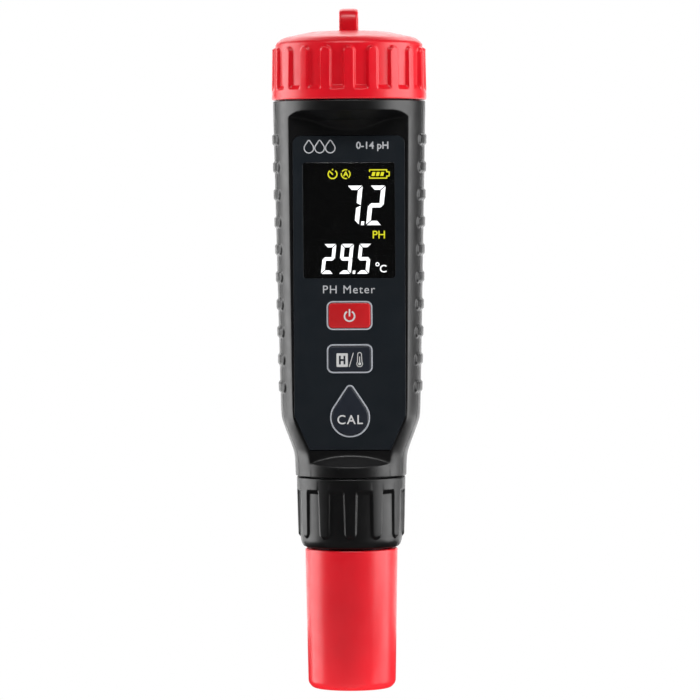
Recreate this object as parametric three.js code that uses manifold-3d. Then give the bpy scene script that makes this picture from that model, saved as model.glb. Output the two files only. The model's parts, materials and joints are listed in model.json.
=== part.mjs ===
// A pen-style pH meter standing upright on its storage cap: a screw-on battery cap with a lanyard eye, a
// two-shell body with a flat, tilted face that carries the display and three keys, a collar that locks the
// replaceable electrode, and a storage cap pushed over the electrode's tip.
// Millimetres, +Z up along the pen's axis, face towards -Y, origin under the middle of the storage cap.

import * as THREE from 'three';
import { mergeVertices } from 'three/addons/utils/BufferGeometryUtils.js';
import Module from 'manifold-3d';

const wasm = await Module();
wasm.setup();

// ---------------------------------------------------------------- driving dimensions

const gap = 0.3; // clearance wherever two pieces touch
const fine = 32; // sides of the large round pieces
const medium = 20; // sides of the middling round pieces
const coarse = 12; // sides of the small round pieces
const weld = 1e-4; // corners nearer than this are one corner

// Outside, from the ground up
const storageHeight = 37.2;
const storageTopRadius = 12.15;
const storageFootRadius = 11.45;
const storageFootBevel = 1.6;
const collarHeight = 18.7;
const collarTopRadius = 14.45;
const collarFootRadius = 14.1;
const collarRibCount = 12;
const collarRibWidth = 3;
const collarRibDepth = 0.6;
const collarBandHeight = 3;
const collarBevelHeight = 2.9;
const collarBevelDepth = 1.9;
const collarWall = 0.6; // behind the valleys between its ribs
const collarLip = 3.5; // thickness of the inward lip at its foot
const bodyHeight = 99.1;
const bodyTopRadius = 20.15;
const bodyShoulderRadius = 18.5;
const bodyNeckRadius = 14.85;
const bodyNeckHeight = 6;
const bodyNeckTaper = 0.15; // how much narrower the neck is at its foot
const bodyRimHeight = 2.6; // straight stretch at the top
const bodyShoulderRise = 9.3;
const lidSkirtHeight = 14.4;
const lidOverhang = 0.3;
const lidRibCount = 20;
const lidRibWidth = 2.9;
const lidRibDepth = 1;
const lidBandHeight = 2.5;
const lidBevelHeight = 2;
const lidBevelDepth = 2.9;
const lidDomeRise = 2.1;
const lidRibEnd = 0.7; // from the ribs' round ends up to the top of the skirt
const ribFlat = 0.1; // straight stretch between the two corners at a rib's end
const eyeHeight = 5.6;
const eyeWidth = 4.95;
const eyeReach = 5.6; // from the axis to the outside of the arch
const eyeWire = 1.9;

// The flat face and what shows on it
const faceDepth = 10.4; // from the axis to the face at its lower end
const faceTilt = THREE.MathUtils.degToRad(1.36);
const faceFromBase = 7.1;
const faceFromTop = 7.6;

// The turned surfaces that lead from the face out to the full round: heights from the body's ends, radii from
// its full radius
const upperSweepFoot = 7.8;
const upperSweepReach = 7.7;
const upperSweepMiddle = 5.3;
const upperSweepBend = 4.6;
const upperSweepTop = 2.4;
const lowerSweepFoot = 2.5;
const lowerSweepTop = 5.5;

// The overlay, the window and the keys on the face
const faceRecess = 0.7;
const overlayInset = 1.7;
const overlayWidth = 29.4;
const overlayFootWidth = 21.3;
const overlaySlant = 9.1;
const overlayThickness = 0.4;
const overlayCorner = 2;
const overlayRise = 0.1; // from the face's foot to the overlay's lower edge
const windowWidth = 24.1;
const windowHeight = 30.5;
const windowCorner = 0.5;
const windowDrop = 5.2; // from the battery tube's floor down to the window's lower edge
const keyWidth = 11;
const keyHeight = 6.6;
const keyCorner = 1.1;
const keyPitch = 11.35;
const firstKeyDrop = 9.75;
const dropKeyRadius = 4.75;
const dropKeyLength = 12.8;
const dropKeyTipRadius = 0.7;
const dropKeyDrop = 28.55;
const keyProud = 0.3;
const keyFlange = 0.8;
const keyFlangeThickness = 0.5;
const keyTravel = 0.4;

// Shells and grip
const shellWall = 1.8;
const faceWall = 1.5;
const partingDepth = 5.5;
const ceilingThickness = 4.8; // solid stretch at the top, around the battery tube's neck
const floorThickness = 4.9; // solid stretch at the foot, around the probe port
const gripCount = 10;
const gripPitch = 7.25;
const gripFromTop = 10.2;
const gripHeight = 3.2;
const gripReach = 17;
const gripProud = 0.45;

// Threads: a ridge's radial height, its widths at root and crest, its pitch and its turns
const lidThread = { height: 0.8, root: 1.4, crest: 0.8, pitch: 4, turns: 1.25 };
const collarThread = { height: 0.8, root: 1.1, crest: 0.6, pitch: 3, turns: 1.5 };
const collarThreadPlay = 0.5; // between a crest of the collar's thread and the port
const threadStart = 2.2; // from the port's foot to the start of its thread
const threadEnd = 1.2; // from the top of the neck down to the end of its thread

// Battery bay
const lidWall = 1.4;
const lidDepth = 11.7;
const neckWall = 1;
const neckHeight = 10.4;
const neckFoot = 3.3; // how far the full round of the neck reaches down into the body
const bayRadius = 16.95;
const bayWall = 1;
const bayFlatWall = 0.9;
const bayFloor = 1.2;
const tubeFlangeDrop = 2.1;
const tubeFlangeReach = 1.1;
const tubeFlangeThickness = 0.8;
const ringSection = 0.4;
const gasketReach = 0.2; // how far the gasket reaches in past the neck's bore
const padMargin = 3;
const carrierPostRadius = 1.7;
const cellNubRadius = 1.9;
const cellNubHeight = 0.9;
const cellBevel = 0.3;
const carrierDrop = 0.4; // from the top of the neck down to the top of the carrier
const contactReach = 2.2;
const cellDiameter = 10.2;
const cellLength = 44.2;
const cellPlay = 0.1; // between neighbouring cells
const cellSpacing = cellDiameter + cellPlay;
const diskThickness = 1;
const contactThickness = 0.4;
const springHeight = 1.8;
const springFootRadius = 2.4;
const springTopRadius = 1.5;

// Electronics
const glassThickness = 1.1;
const backlightThickness = 0.5;
const boardThickness = 0.8;
const boardWidth = 26;
const boardFootWidth = 18;
const switchSize = 4.6;
const switchHeight = 0.7;
const plungerRadius = 1;
const boardDepth = 4; // from the face's surface to the front of the board
const boardFootRise = 2.2;
const boardSlantRise = 9.7;
const boardTopRise = 2.7; // from the window's lower edge up to the board's top
const glassEdge = 1.5; // how far the glass reaches past the window
const stripRise = 0.8; // of the connector strip above the window's lower edge
const stripDrop = 1.2; // and below it
const screwRadius = 0.6;
const screwHeadRadius = 1.5;
const screwHeadHeight = 0.8;
const screwSpread = 22;
const screwDrop = 3.8; // of the upper screws, below the window
const screwTipDepth = 2.2;
const bossRadius = 1.7;
const chipHeight = 1.1;
const processorSize = 7;
const amplifierSize = 5;
const amplifierLength = 4;

// Electrode
const plugRadius = 9.2;
const plugLength = 14.3;
const plugWall = 2.3;
const plugCrown = 3; // thickness of the plug's closed top
const plugBevel = 0.6;
const plugPlay = 0.4;
const plugSealSection = 0.55;
const flangeThickness = 2.4;
const lipPlay = 0.5;
const portFoot = 1.5; // of the shells' floor below the port's flange
const portFlangeThickness = 1;
const socketRadius = 6.9;
const socketWall = 1.5;
const socketHeight = 5.2;
const headRadius = 9.8;
const headDrop = 7.5; // from the collar's foot down to the end of the head
const capSealDrop = 3.4; // from the storage cap's rim down to the seal inside it
const capSealSection = 0.6;
const pinRadius = 0.5;
const pinCircle = 4;
const pinSeat = 2;
const pinLength = 6.2;
const sleeveRadius = 8.2;
const sleeveWall = 1.3;
const tipHeight = 11;
const slotHeight = 5;
const slotWidth = 4;
const slotCount = 4;
const spigotWall = 1.1;
const spigotHeight = 6;
const stemRadius = 3.2;
const bulbRadius = 4;
const glassWall = 0.5;
const bulbInset = 1; // from the tip of the sleeve to the bulb
const stemDrop = 6; // from the top of the head's bore down to the end of the stem
const wireRadius = 0.5;
const sensorRadius = 0.7;
const sensorLength = 14;
const junctionRise = 3; // of the reference junction above the slots
const junctionHeight = 3;
const pinCount = 4;
const storageWall = 1.4;
const storageFloor = 2;
const spongeHeight = 3.6;

// ---------------------------------------------------------------- levels worked out from them

const collarBase = storageHeight + gap;
const collarTop = collarBase + collarHeight;
const bodyBase = collarTop + gap;
const bodyTop = bodyBase + bodyHeight;
const lidBase = bodyTop + gap;
const lidSkirtTop = lidBase + lidSkirtHeight;
const faceBase = bodyBase + faceFromBase;
const faceLength = bodyTop - faceFromTop - faceBase;

// ---------------------------------------------------------------- solids

/** Closed solid of a closed geometry, with shared corners merged and collapsed triangles left out. */
function solid(geometry) {
  const bare = geometry.clone();
  bare.deleteAttribute('normal');
  bare.deleteAttribute('uv');
  const merged = mergeVertices(bare, weld);
  const index = merged.index.array;
  const corners = [];
  for (let i = 0; i < index.length; i += 3) {
    const triangle = [index[i], index[i + 1], index[i + 2]];
    if (new Set(triangle).size === 3) corners.push(...triangle);
  }
  const triVerts = Uint32Array.from(corners);
  const vertProperties = merged.attributes.position.array;
  return new wasm.Manifold(new wasm.Mesh({ numProp: 3, vertProperties, triVerts }));
}

/** Geometry of a finished solid. */
function geometryOf(body) {
  const mesh = body.getMesh();
  const geometry = new THREE.BufferGeometry();
  geometry.setAttribute('position', new THREE.BufferAttribute(mesh.vertProperties, 3));
  geometry.setIndex(new THREE.BufferAttribute(mesh.triVerts, 1));
  geometry.computeVertexNormals();
  return geometry;
}

/** Sum of a list of solids. */
function union(bodies) {
  return bodies.reduce((sum, body) => sum.add(body));
}

/** Solid of revolution about Z from an outline of [radius, height] points, which may end on the axis. */
function revolve(outline, sides = fine) {
  const points = outline.map(([radius, height]) => new THREE.Vector2(radius, height));
  if (THREE.ShapeUtils.area(points) < 0) points.reverse();
  if (points.at(-1).x > 0 || points[0].x > 0) points.push(points[0].clone());
  return solid(new THREE.LatheGeometry(points, sides).rotateX(Math.PI / 2));
}

/** Upright cylinder of the given radius between two heights. */
function disk(radius, from, to, sides = fine) {
  return revolve([[0, from], [radius, from], [radius, to], [0, to]], sides);
}

/** Upright tube between two radii and two heights. */
function tube(inner, outer, from, to, sides = fine) {
  return revolve([[inner, from], [outer, from], [outer, to], [inner, to]], sides);
}

/** Ring of round section about Z. */
function ring(middleRadius, sectionRadius, height, sides = medium) {
  const section = [];
  for (let i = 0; i < 6; i++) {
    const angle = (i + 0.5) * Math.PI / 3;
    const outwards = sectionRadius * Math.cos(angle);
    section.push([middleRadius + outwards, height + sectionRadius * Math.sin(angle)]);
  }
  return revolve(section, sides);
}

/** Box between two corners. */
function block([x0, y0, z0], [x1, y1, z1]) {
  const geometry = new THREE.BoxGeometry(x1 - x0, y1 - y0, z1 - z0);
  return solid(geometry.translate((x0 + x1) / 2, (y0 + y1) / 2, (z0 + z1) / 2));
}

/** Outline in the XY plane carried up from one height to another. */
function prism(shape, from, to, curveSegments = 12) {
  const depth = to - from;
  const geometry = new THREE.ExtrudeGeometry(shape, { depth, bevelEnabled: false, curveSegments });
  return solid(geometry.translate(0, 0, from));
}

/** Outline across X and Z carried along +Y from one depth to another. */
function plate(shape, from, to, curveSegments = 3) {
  const depth = to - from;
  const geometry = new THREE.ExtrudeGeometry(shape, { depth, bevelEnabled: false, curveSegments });
  return solid(geometry.translate(0, 0, -to).rotateX(Math.PI / 2));
}

/** Round rod along +Y, centred at x and z. */
function rod(x, z, radius, from, to, sides = coarse) {
  const geometry = new THREE.CylinderGeometry(radius, radius, to - from, sides);
  return solid(geometry.translate(x, (from + to) / 2, z));
}

/** Right-hand thread ridge of trapezoid section, from its upper end at the given height down its turns. */
function threadRidge(rootRadius, crestRadius, thread, upperEnd) {
  const half = [thread.root / 2, thread.crest / 2];
  const section = new THREE.Shape([
    new THREE.Vector2(rootRadius, -half[0]),
    new THREE.Vector2(crestRadius, -half[1]),
    new THREE.Vector2(crestRadius, half[1]),
    new THREE.Vector2(rootRadius, half[0]),
  ]);
  const stepsPerTurn = 20;
  const depth = thread.turns * 2 * Math.PI;
  const steps = Math.round(thread.turns * stepsPerTurn);
  const geometry = new THREE.ExtrudeGeometry(section, { depth, steps, bevelEnabled: false });
  const place = geometry.attributes.position;
  for (let i = 0; i < place.count; i++) {
    const radius = place.getX(i);
    const angle = -place.getZ(i);
    const height = upperEnd + place.getY(i) + thread.pitch * angle / (2 * Math.PI);
    place.setXYZ(i, radius * Math.cos(angle), radius * Math.sin(angle), height);
  }
  return solid(geometry);
}

/** Copies of a solid spaced evenly round Z. */
function aroundAxis(body, count, offsetDegrees = 0) {
  const copies = [];
  for (let i = 0; i < count; i++) copies.push(body.rotate([0, 0, offsetDegrees + i * 360 / count]));
  return union(copies);
}

/** Rectangle with rounded corners, as an outline. */
function roundedRectangle(width, height, corner, centreX = 0, centreY = 0, Kind = THREE.Shape) {
  const x = width / 2 - corner;
  const y = height / 2 - corner;
  const outline = new Kind();
  outline.absarc(centreX + x, centreY + y, corner, 0, Math.PI / 2);
  outline.absarc(centreX - x, centreY + y, corner, Math.PI / 2, Math.PI);
  outline.absarc(centreX - x, centreY - y, corner, Math.PI, 1.5 * Math.PI);
  outline.absarc(centreX + x, centreY - y, corner, 1.5 * Math.PI, 2 * Math.PI);
  outline.closePath();
  return outline;
}

/** Water-drop outline, point up: two circles and the two straight lines that touch both. */
function dropOutline(tipHeightOnFace, grow = 0, Kind = THREE.Shape) {
  const tip = tipHeightOnFace - dropKeyTipRadius;
  const belly = tipHeightOnFace - dropKeyLength + dropKeyRadius;
  const lean = Math.asin((dropKeyRadius - dropKeyTipRadius) / (tip - belly));
  const outline = new Kind();
  outline.absarc(0, belly, dropKeyRadius + grow, Math.PI - lean, 2 * Math.PI + lean);
  outline.absarc(0, tip, dropKeyTipRadius + grow, lean, Math.PI - lean);
  outline.closePath();
  return outline;
}

/** Circle cut off by a straight chord across its front, as an outline. */
function flattenedCircle(radius, chordY) {
  const start = Math.asin(chordY / radius);
  const outline = new THREE.Shape();
  outline.absarc(0, 0, radius, start, Math.PI - start);
  outline.closePath();
  return outline;
}

// ---------------------------------------------------------------- materials and nodes

/** Plain material of one colour. */
function finish(color, roughness, metalness = 0) {
  return new THREE.MeshStandardMaterial({ color, roughness, metalness });
}

const redPlastic = finish(0xe01f2b, 0.5);
const blackPlastic = finish(0x17181b, 0.45);
const overlayFilm = finish(0x1b2025, 0.4);
const blackGlass = finish(0x050505, 0.08);
const navyKey = finish(0x23262e, 0.4);
const greyPlastic = finish(0x5c6066, 0.6);
const clearPlastic = finish(0xc9d4da, 0.2);
const glass = finish(0xdfeff2, 0.05);
const rubber = finish(0x101010, 0.8);
const board = finish(0x1d5a34, 0.6);
const chip = finish(0x141414, 0.5);
const steel = finish(0xb9bcc0, 0.3, 1);
const gold = finish(0xd4a84a, 0.3, 1);
const silver = finish(0xdedede, 0.25, 1);
const cellWrap = finish(0x2f6f8f, 0.4);
const ceramic = finish(0xe9e4da, 0.8);
const sponge = finish(0xe8d36a, 0.95);

const meter = new THREE.Group();
meter.name = 'ph_meter';

const face = new THREE.Group();
face.name = 'face';
face.position.set(0, -faceDepth, faceBase);
face.rotation.x = faceTilt;
face.updateMatrix();
meter.add(face);

/** Adds a finished solid to a group under its own name. */
function place(name, body, material, group = meter) {
  const mesh = new THREE.Mesh(geometryOf(body), material);
  mesh.name = name;
  group.add(mesh);
}

/** Moves a solid drawn in the face's own frame into the pen's frame, where it cuts or joins the shells. */
function onFace(body) {
  return body.transform(face.matrix.elements);
}

// ---------------------------------------------------------------- storage cap and sponge

const storageBoreTop = storageTopRadius - storageWall;
const storageBoreFoot = storageFootRadius - storageWall;
const storageBevelMiddle = 0.3 * storageFootBevel;

place('storage_cap', revolve([
  [0, 0],
  [storageFootRadius - storageFootBevel, 0],
  [storageFootRadius - storageBevelMiddle, storageBevelMiddle],
  [storageFootRadius, storageFootBevel],
  [storageTopRadius, storageHeight],
  [storageBoreTop, storageHeight],
  [storageBoreFoot, storageFloor],
  [0, storageFloor],
]), redPlastic);

const spongeBase = storageFloor + gap;
place('storage_sponge', disk(storageBoreFoot - gap, spongeBase, spongeBase + spongeHeight, medium), sponge);

// ---------------------------------------------------------------- lock collar and the port it screws on

const collarBore = collarFootRadius - collarRibDepth - collarWall;
const portRadius = collarBore - collarThread.height - collarThreadPlay;
const portBore = plugRadius + plugPlay;
const lipTop = collarBase + collarLip;
const lipBore = headRadius + lipPlay;
const flangeBase = lipTop + gap;
const flangeTop = flangeBase + flangeThickness;
const portBase = flangeTop + gap;

/** Outline of the collar's outside up to its band, set in by an amount. */
const collarForm = inset => [
  [0, collarBase],
  [collarFootRadius - collarBevelDepth, collarBase],
  [collarFootRadius - inset, collarBase + collarBevelHeight],
  [collarTopRadius - inset, collarTop - collarBandHeight],
];
const collarValley = revolve([
  ...collarForm(collarRibDepth),
  [collarTopRadius, collarTop - collarBandHeight + collarRibDepth],
  [collarTopRadius, collarTop],
  [0, collarTop],
]);
const collarRibShift = 1.6; // how far the ribs' outlines are raised, which sets their round lower ends
const collarRibMiddle = collarTop - collarHeight / 2 + collarRibShift;
const collarRibCorner = (collarRibWidth - ribFlat) / 2;
const collarRibOutline = roundedRectangle(collarRibWidth, collarHeight, collarRibCorner, 0, collarRibMiddle);
const collarRib = plate(collarRibOutline, -2 * collarTopRadius, -collarBore + gap, 1);
const collarRibs = revolve([...collarForm(0), [0, collarTop - collarBandHeight]])
  .intersect(aroundAxis(collarRib, collarRibCount));
const collarBoreCut = disk(collarBore, lipTop, collarTop + 1).add(disk(lipBore, collarBase - 1, lipTop + 1));
const portThreadTop = portBase + threadStart + collarThread.turns * collarThread.pitch;
const collarThreadTop = portThreadTop + collarThread.root + gap;

place('lock_collar', union([
  collarValley.add(collarRibs).subtract(collarBoreCut),
  threadRidge(collarBore + gap, collarBore - collarThread.height, collarThread, collarThreadTop),
]), blackPlastic);

const portFlangeRadius = bodyNeckRadius - bodyNeckTaper - shellWall - gap;
const portFlangeBase = bodyBase + portFoot + gap;
const portFlangeTop = portFlangeBase + portFlangeThickness;
const plugTop = flangeTop + plugLength;
const portCeiling = plugTop + gap;
const portTop = portFlangeTop + socketHeight;
const socketOutside = socketRadius + socketWall;

const portBody = revolve([
  [0, portBase],
  [portRadius, portBase],
  [portRadius, portFlangeBase],
  [portFlangeRadius, portFlangeBase],
  [portFlangeRadius, portFlangeTop],
  [socketOutside, portFlangeTop],
  [socketOutside, portTop],
  [0, portTop],
]);
const portCut = disk(portBore, portBase - 1, portCeiling).add(disk(socketRadius, portBase, portTop + 1));
place('probe_port', union([
  portBody.subtract(portCut),
  threadRidge(portRadius - gap, portRadius + collarThread.height, collarThread, portThreadTop),
]), greyPlastic);

// ---------------------------------------------------------------- electrode

const headBase = collarBase - headDrop;
const headBore = sleeveRadius - sleeveWall;
const plugBore = plugRadius - plugWall;
const headBoreTop = plugTop - plugCrown;
const plugSealHeight = (flangeTop + plugTop) / 2 - 1;
const capSealHeight = storageHeight - capSealDrop;

/** Radius of the storage cap's tapered bore at a height. */
function storageBoreAt(height) {
  return THREE.MathUtils.mapLinear(height, storageFloor, storageHeight, storageBoreFoot, storageBoreTop);
}

/** Groove in the electrode's head that an O-ring sits in. */
function sealGroove(middleRadius, section, height) {
  const depth = section + gap;
  return tube(middleRadius - depth, 2 * headRadius, height - depth, height + depth, medium);
}

const plugSealRadius = portBore - gap - plugSealSection;
const capSealRadius = storageBoreAt(capSealHeight) - gap - capSealSection;
const headBody = revolve([
  [headBore, headBase],
  [headRadius, headBase],
  [headRadius, flangeBase],
  [portRadius - gap, flangeBase],
  [portRadius - gap, flangeTop],
  [plugRadius, flangeTop],
  [plugRadius, plugTop - plugBevel],
  [plugRadius - plugBevel, plugTop],
  [0, plugTop],
  [0, headBoreTop],
  [plugBore, headBoreTop],
  [plugBore, flangeTop],
  [headBore, flangeBase],
], medium);
const pinHole = disk(pinRadius + gap, plugTop - pinSeat, plugTop + 1, 8).translate([pinCircle, 0, 0]);
const head = headBody
  .subtract(sealGroove(plugSealRadius, plugSealSection, plugSealHeight))
  .subtract(sealGroove(capSealRadius, capSealSection, capSealHeight))
  .subtract(aroundAxis(pinHole, pinCount, 45));
place('electrode_head', head, blackPlastic);
place('plug_o_ring', ring(plugSealRadius, plugSealSection, plugSealHeight), rubber);
place('storage_seal_o_ring', ring(capSealRadius, capSealSection, capSealHeight), rubber);

const pinBase = plugTop - pinSeat + gap;
for (let i = 0; i < pinCount; i++) {
  const pin = revolve([
    [0, pinBase],
    [pinRadius, pinBase],
    [pinRadius, pinBase + pinLength - pinRadius],
    [0, pinBase + pinLength],
  ], 8);
  const placed = pin.translate([pinCircle, 0, 0]).rotate([0, 0, 45 + i * 360 / pinCount]);
  place(`contact_pin_${i + 1}`, placed, gold);
}

const connectorHole = disk(pinRadius + gap, portCeiling, portTop + 1, 8).translate([pinCircle, 0, 0]);
const connectorBase = portCeiling + 2 * gap;
place('probe_connector', disk(socketRadius - gap, connectorBase, portTop - gap, medium)
  .subtract(aroundAxis(connectorHole, pinCount, 45)), chip);

// The sleeve glues into the head and guards the bulb; four slots let the sample in.
const spigotRadius = headBore - gap;
const spigotBore = spigotRadius - spigotWall;
const spigotTop = headBase + spigotHeight;
const slotSide = slotWidth / 2;
const slot = block([0, -slotSide, tipHeight - 1], [2 * sleeveRadius, slotSide, tipHeight + slotHeight]);
place('probe_sleeve', revolve([
  [headBore, tipHeight],
  [sleeveRadius, tipHeight],
  [sleeveRadius, headBase - gap],
  [spigotRadius, headBase - gap],
  [spigotRadius, spigotTop],
  [spigotBore, spigotTop],
  [spigotBore, headBase - 1],
  [headBore, headBase - 2],
], medium).subtract(aroundAxis(slot, slotCount)), clearPlastic);

const bulbMiddle = tipHeight + bulbInset + bulbRadius;
const stemTop = headBoreTop - stemDrop;
const stemBore = stemRadius - glassWall;
const bulbProfile = [];
const bulbSteps = 4;
const bulbTopAngle = Math.acos(stemRadius / bulbRadius);
for (let i = 0; i <= bulbSteps; i++) {
  const angle = THREE.MathUtils.lerp(-Math.PI / 2, bulbTopAngle, i / bulbSteps);
  bulbProfile.push([bulbRadius * Math.cos(angle), bulbMiddle + bulbRadius * Math.sin(angle)]);
}
bulbProfile[0][0] = 0;
const innerBulb = bulbRadius - glassWall;
const innerProfile = [];
for (let i = bulbSteps; i >= 0; i--) {
  const angle = THREE.MathUtils.lerp(-Math.PI / 2, Math.acos(stemBore / innerBulb), i / bulbSteps);
  innerProfile.push([innerBulb * Math.cos(angle), bulbMiddle + innerBulb * Math.sin(angle)]);
}
innerProfile.at(-1)[0] = 0;
place('glass_bulb', revolve([
  ...bulbProfile,
  [stemRadius, stemTop],
  [stemBore, stemTop],
  ...innerProfile,
], coarse), glass);
place('silver_wire', disk(wireRadius, bulbMiddle, headBoreTop - gap, 8), silver);

const sensorPlace = bulbRadius + gap + sensorRadius;
const sensorBase = tipHeight + bulbInset;
const junctionBase = tipHeight + slotHeight + junctionRise;
const junctionTop = junctionBase + junctionHeight;
const sensorHole = disk(sensorRadius + gap, junctionBase - 1, junctionTop + 1, 10)
  .translate([sensorPlace, 0, 0]);
place('reference_junction', tube(stemRadius + gap, headBore - gap, junctionBase, junctionTop, medium)
  .subtract(sensorHole), ceramic);
place('temperature_sensor', revolve([
  [0, sensorBase],
  [0.7 * sensorRadius, sensorBase + 0.1],
  [sensorRadius, sensorBase + 0.6],
  [sensorRadius, sensorBase + sensorLength],
  [0, sensorBase + sensorLength],
], 12).translate([sensorPlace, 0, 0]), steel);

// ---------------------------------------------------------------- battery cap

const lidRadius = bodyTopRadius + lidOverhang;
const lidBore = lidRadius - lidRibDepth - lidWall;
const lidRoof = lidBase + lidDepth;
const lidValleyRadius = lidRadius - lidRibDepth;
const lidBevelTop = lidSkirtTop + lidBevelHeight;
const lidTop = lidBevelTop + lidDomeRise;
const bevelMiddle = [lidValleyRadius - 0.04 * lidBevelDepth, lidSkirtTop + 0.6 * lidBevelHeight];
const domeTop = [
  bevelMiddle,
  [lidRadius - lidBevelDepth, lidBevelTop],
  [0.5 * lidRadius, lidBevelTop + 0.75 * lidDomeRise],
  [0, lidTop],
];
const lidValley = revolve([
  [0, lidBase],
  [lidRadius, lidBase],
  [lidRadius, lidBase + lidBandHeight],
  [lidValleyRadius, lidBase + lidBandHeight + lidRibDepth],
  [lidValleyRadius, lidSkirtTop],
  ...domeTop,
]);
const lidRibMiddle = lidSkirtTop - lidRibEnd - lidSkirtHeight / 2;
const lidRibCorner = (lidRibWidth - ribFlat) / 2;
const lidRibOutline = roundedRectangle(lidRibWidth, lidSkirtHeight, lidRibCorner, 0, lidRibMiddle);
const lidRib = plate(lidRibOutline, -2 * lidRadius, -lidValleyRadius + 1, 1);
const lidRibs = revolve([
  [0, lidBase + lidBandHeight - 0.5],
  [lidRadius - 0.05, lidBase + lidBandHeight - 0.5],
  [lidRadius - 0.25, lidSkirtTop],
  [0, lidSkirtTop],
]).intersect(aroundAxis(lidRib, lidRibCount, 1));

/** Outline of the lanyard eye's arch and of its mirror image below the dome, set in by an amount. */
function archOutline(inset) {
  const reach = eyeReach - inset;
  return roundedRectangle(2 * reach, 2 * (eyeHeight - inset), reach - ribFlat, 0, lidTop);
}

const eyeRoot = 1.2; // how deep the arch's feet reach into the dome
const archSide = 2 * eyeReach;
const belowDome = block([-archSide, -eyeWidth, lidTop - archSide], [archSide, eyeWidth, lidTop - eyeRoot]);
const eye = plate(archOutline(0), -eyeWidth / 2, eyeWidth / 2)
  .subtract(plate(archOutline(eyeWire), -eyeWidth, eyeWidth))
  .subtract(belowDome)
  .rotate([0, 0, 90]);

const ringHeight = lidBase + gap + ringSection;
const ringZoneTop = ringHeight + ringSection + gap;
const lidCut = disk(lidBore, lidBase - 1, lidRoof).add(disk(lidBore + gap, lidBase - 1, ringZoneTop));
const neckRadius = lidBore - lidThread.height - gap;
const neckTop = bodyTop + neckHeight;
const neckThreadTop = neckTop - threadEnd;
const lidThreadTop = neckThreadTop - lidThread.root - gap;

place('battery_cap', union([
  lidValley.add(lidRibs).add(eye).subtract(lidCut),
  threadRidge(lidBore + gap, lidBore - lidThread.height, lidThread, lidThreadTop),
]), redPlastic);

const gasketInner = neckRadius - neckWall - gasketReach;
place('battery_cap_gasket', tube(gasketInner, lidBore - gap, neckTop + gap, lidRoof - gap), rubber);
place('press_pad', disk(gasketInner - padMargin, neckTop + gap, lidRoof - gap, medium), rubber);
place('neck_o_ring', ring(neckRadius + gap + ringSection, ringSection, ringHeight, fine), rubber);

// ---------------------------------------------------------------- battery tube, carrier and cells

const neckBore = neckRadius - neckWall;
const bayBore = bayRadius - bayWall;
const cellRadius = cellDiameter / 2;
const rearRow = Math.sqrt((bayBore - gap - cellRadius) ** 2 - (cellSpacing / 2) ** 2);
const frontRow = rearRow - cellSpacing;
const carrierFlat = frontRow - cellRadius;
const tubeFlatInside = carrierFlat - gap;
const tubeFlatOutside = tubeFlatInside - bayFlatWall;
const carrierLength = 2 * diskThickness + 2 * contactThickness + 4 * gap + cellLength;
const tubeFloorTop = neckTop - carrierDrop - carrierLength - gap - springHeight;
const tubeFloorBase = tubeFloorTop - bayFloor;
const tubeRoundBase = bodyTop - neckFoot;
const tubeFlangeBase = bodyTop - tubeFlangeDrop;
const tubeFlangeTop = tubeFlangeBase + tubeFlangeThickness;
const tubeFlangeRadius = neckRadius + tubeFlangeReach;

const tubeOutside = union([
  prism(flattenedCircle(bayRadius, tubeFlatOutside), tubeFloorBase, tubeRoundBase, medium),
  disk(neckRadius, tubeRoundBase, neckTop),
  disk(tubeFlangeRadius, tubeFlangeBase, tubeFlangeTop),
]);
const tubeInside = union([
  prism(flattenedCircle(bayBore, tubeFlatInside), tubeFloorTop, tubeRoundBase + 1, medium),
  disk(neckBore, tubeRoundBase + 1, neckTop + 1),
]);
place('battery_tube', union([
  tubeOutside.subtract(tubeInside),
  threadRidge(neckRadius - gap, neckRadius + lidThread.height, lidThread, neckThreadTop),
]), greyPlastic);

const lowerDiskBase = tubeFloorTop + springHeight + gap;
const lowerDiskTop = lowerDiskBase + diskThickness;
const cellBase = lowerDiskTop + contactThickness + 2 * gap;
const cellTop = cellBase + cellLength;
const upperDiskBase = cellTop + contactThickness + 2 * gap;
const upperDiskTop = upperDiskBase + diskThickness;
const carrierOutline = flattenedCircle(bayBore - gap, carrierFlat);
const carrierMiddle = (rearRow + frontRow) / 2;
place('battery_carrier', union([
  prism(carrierOutline, lowerDiskBase, lowerDiskTop, 16),
  prism(carrierOutline, upperDiskBase, upperDiskTop, 16),
  disk(carrierPostRadius, lowerDiskBase, upperDiskTop, 12).translate([0, carrierMiddle, 0]),
]), blackPlastic);

const cellShoulder = cellLength - cellNubHeight;
const cell = revolve([
  [0, 0],
  [cellRadius - cellBevel, 0],
  [cellRadius, cellBevel],
  [cellRadius, cellShoulder - cellBevel],
  [cellRadius - cellBevel, cellShoulder],
  [cellNubRadius, cellShoulder],
  [cellNubRadius, cellLength],
  [0, cellLength],
], coarse);
const rows = { front: frontRow, rear: rearRow };
const sides = { left: -cellSpacing / 2, right: cellSpacing / 2 };
for (const [rowName, y] of Object.entries(rows)) {
  for (const [sideName, x] of Object.entries(sides)) {
    const nubUp = (rowName === 'front') === (sideName === 'left');
    const turned = nubUp ? cell : cell.rotate([180, 0, 0]).translate([0, 0, cellLength]);
    place(`cell_${rowName}_${sideName}`, turned.translate([x, y, cellBase]), cellWrap);
  }
}

/** Flat contact strip over the cells' middles between two corners, lying on a height. */
function contactStrip([x0, y0], [x1, y1], height) {
  return block([x0 - contactReach, y0 - contactReach, height],
    [x1 + contactReach, y1 + contactReach, height + contactThickness]);
}

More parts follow.
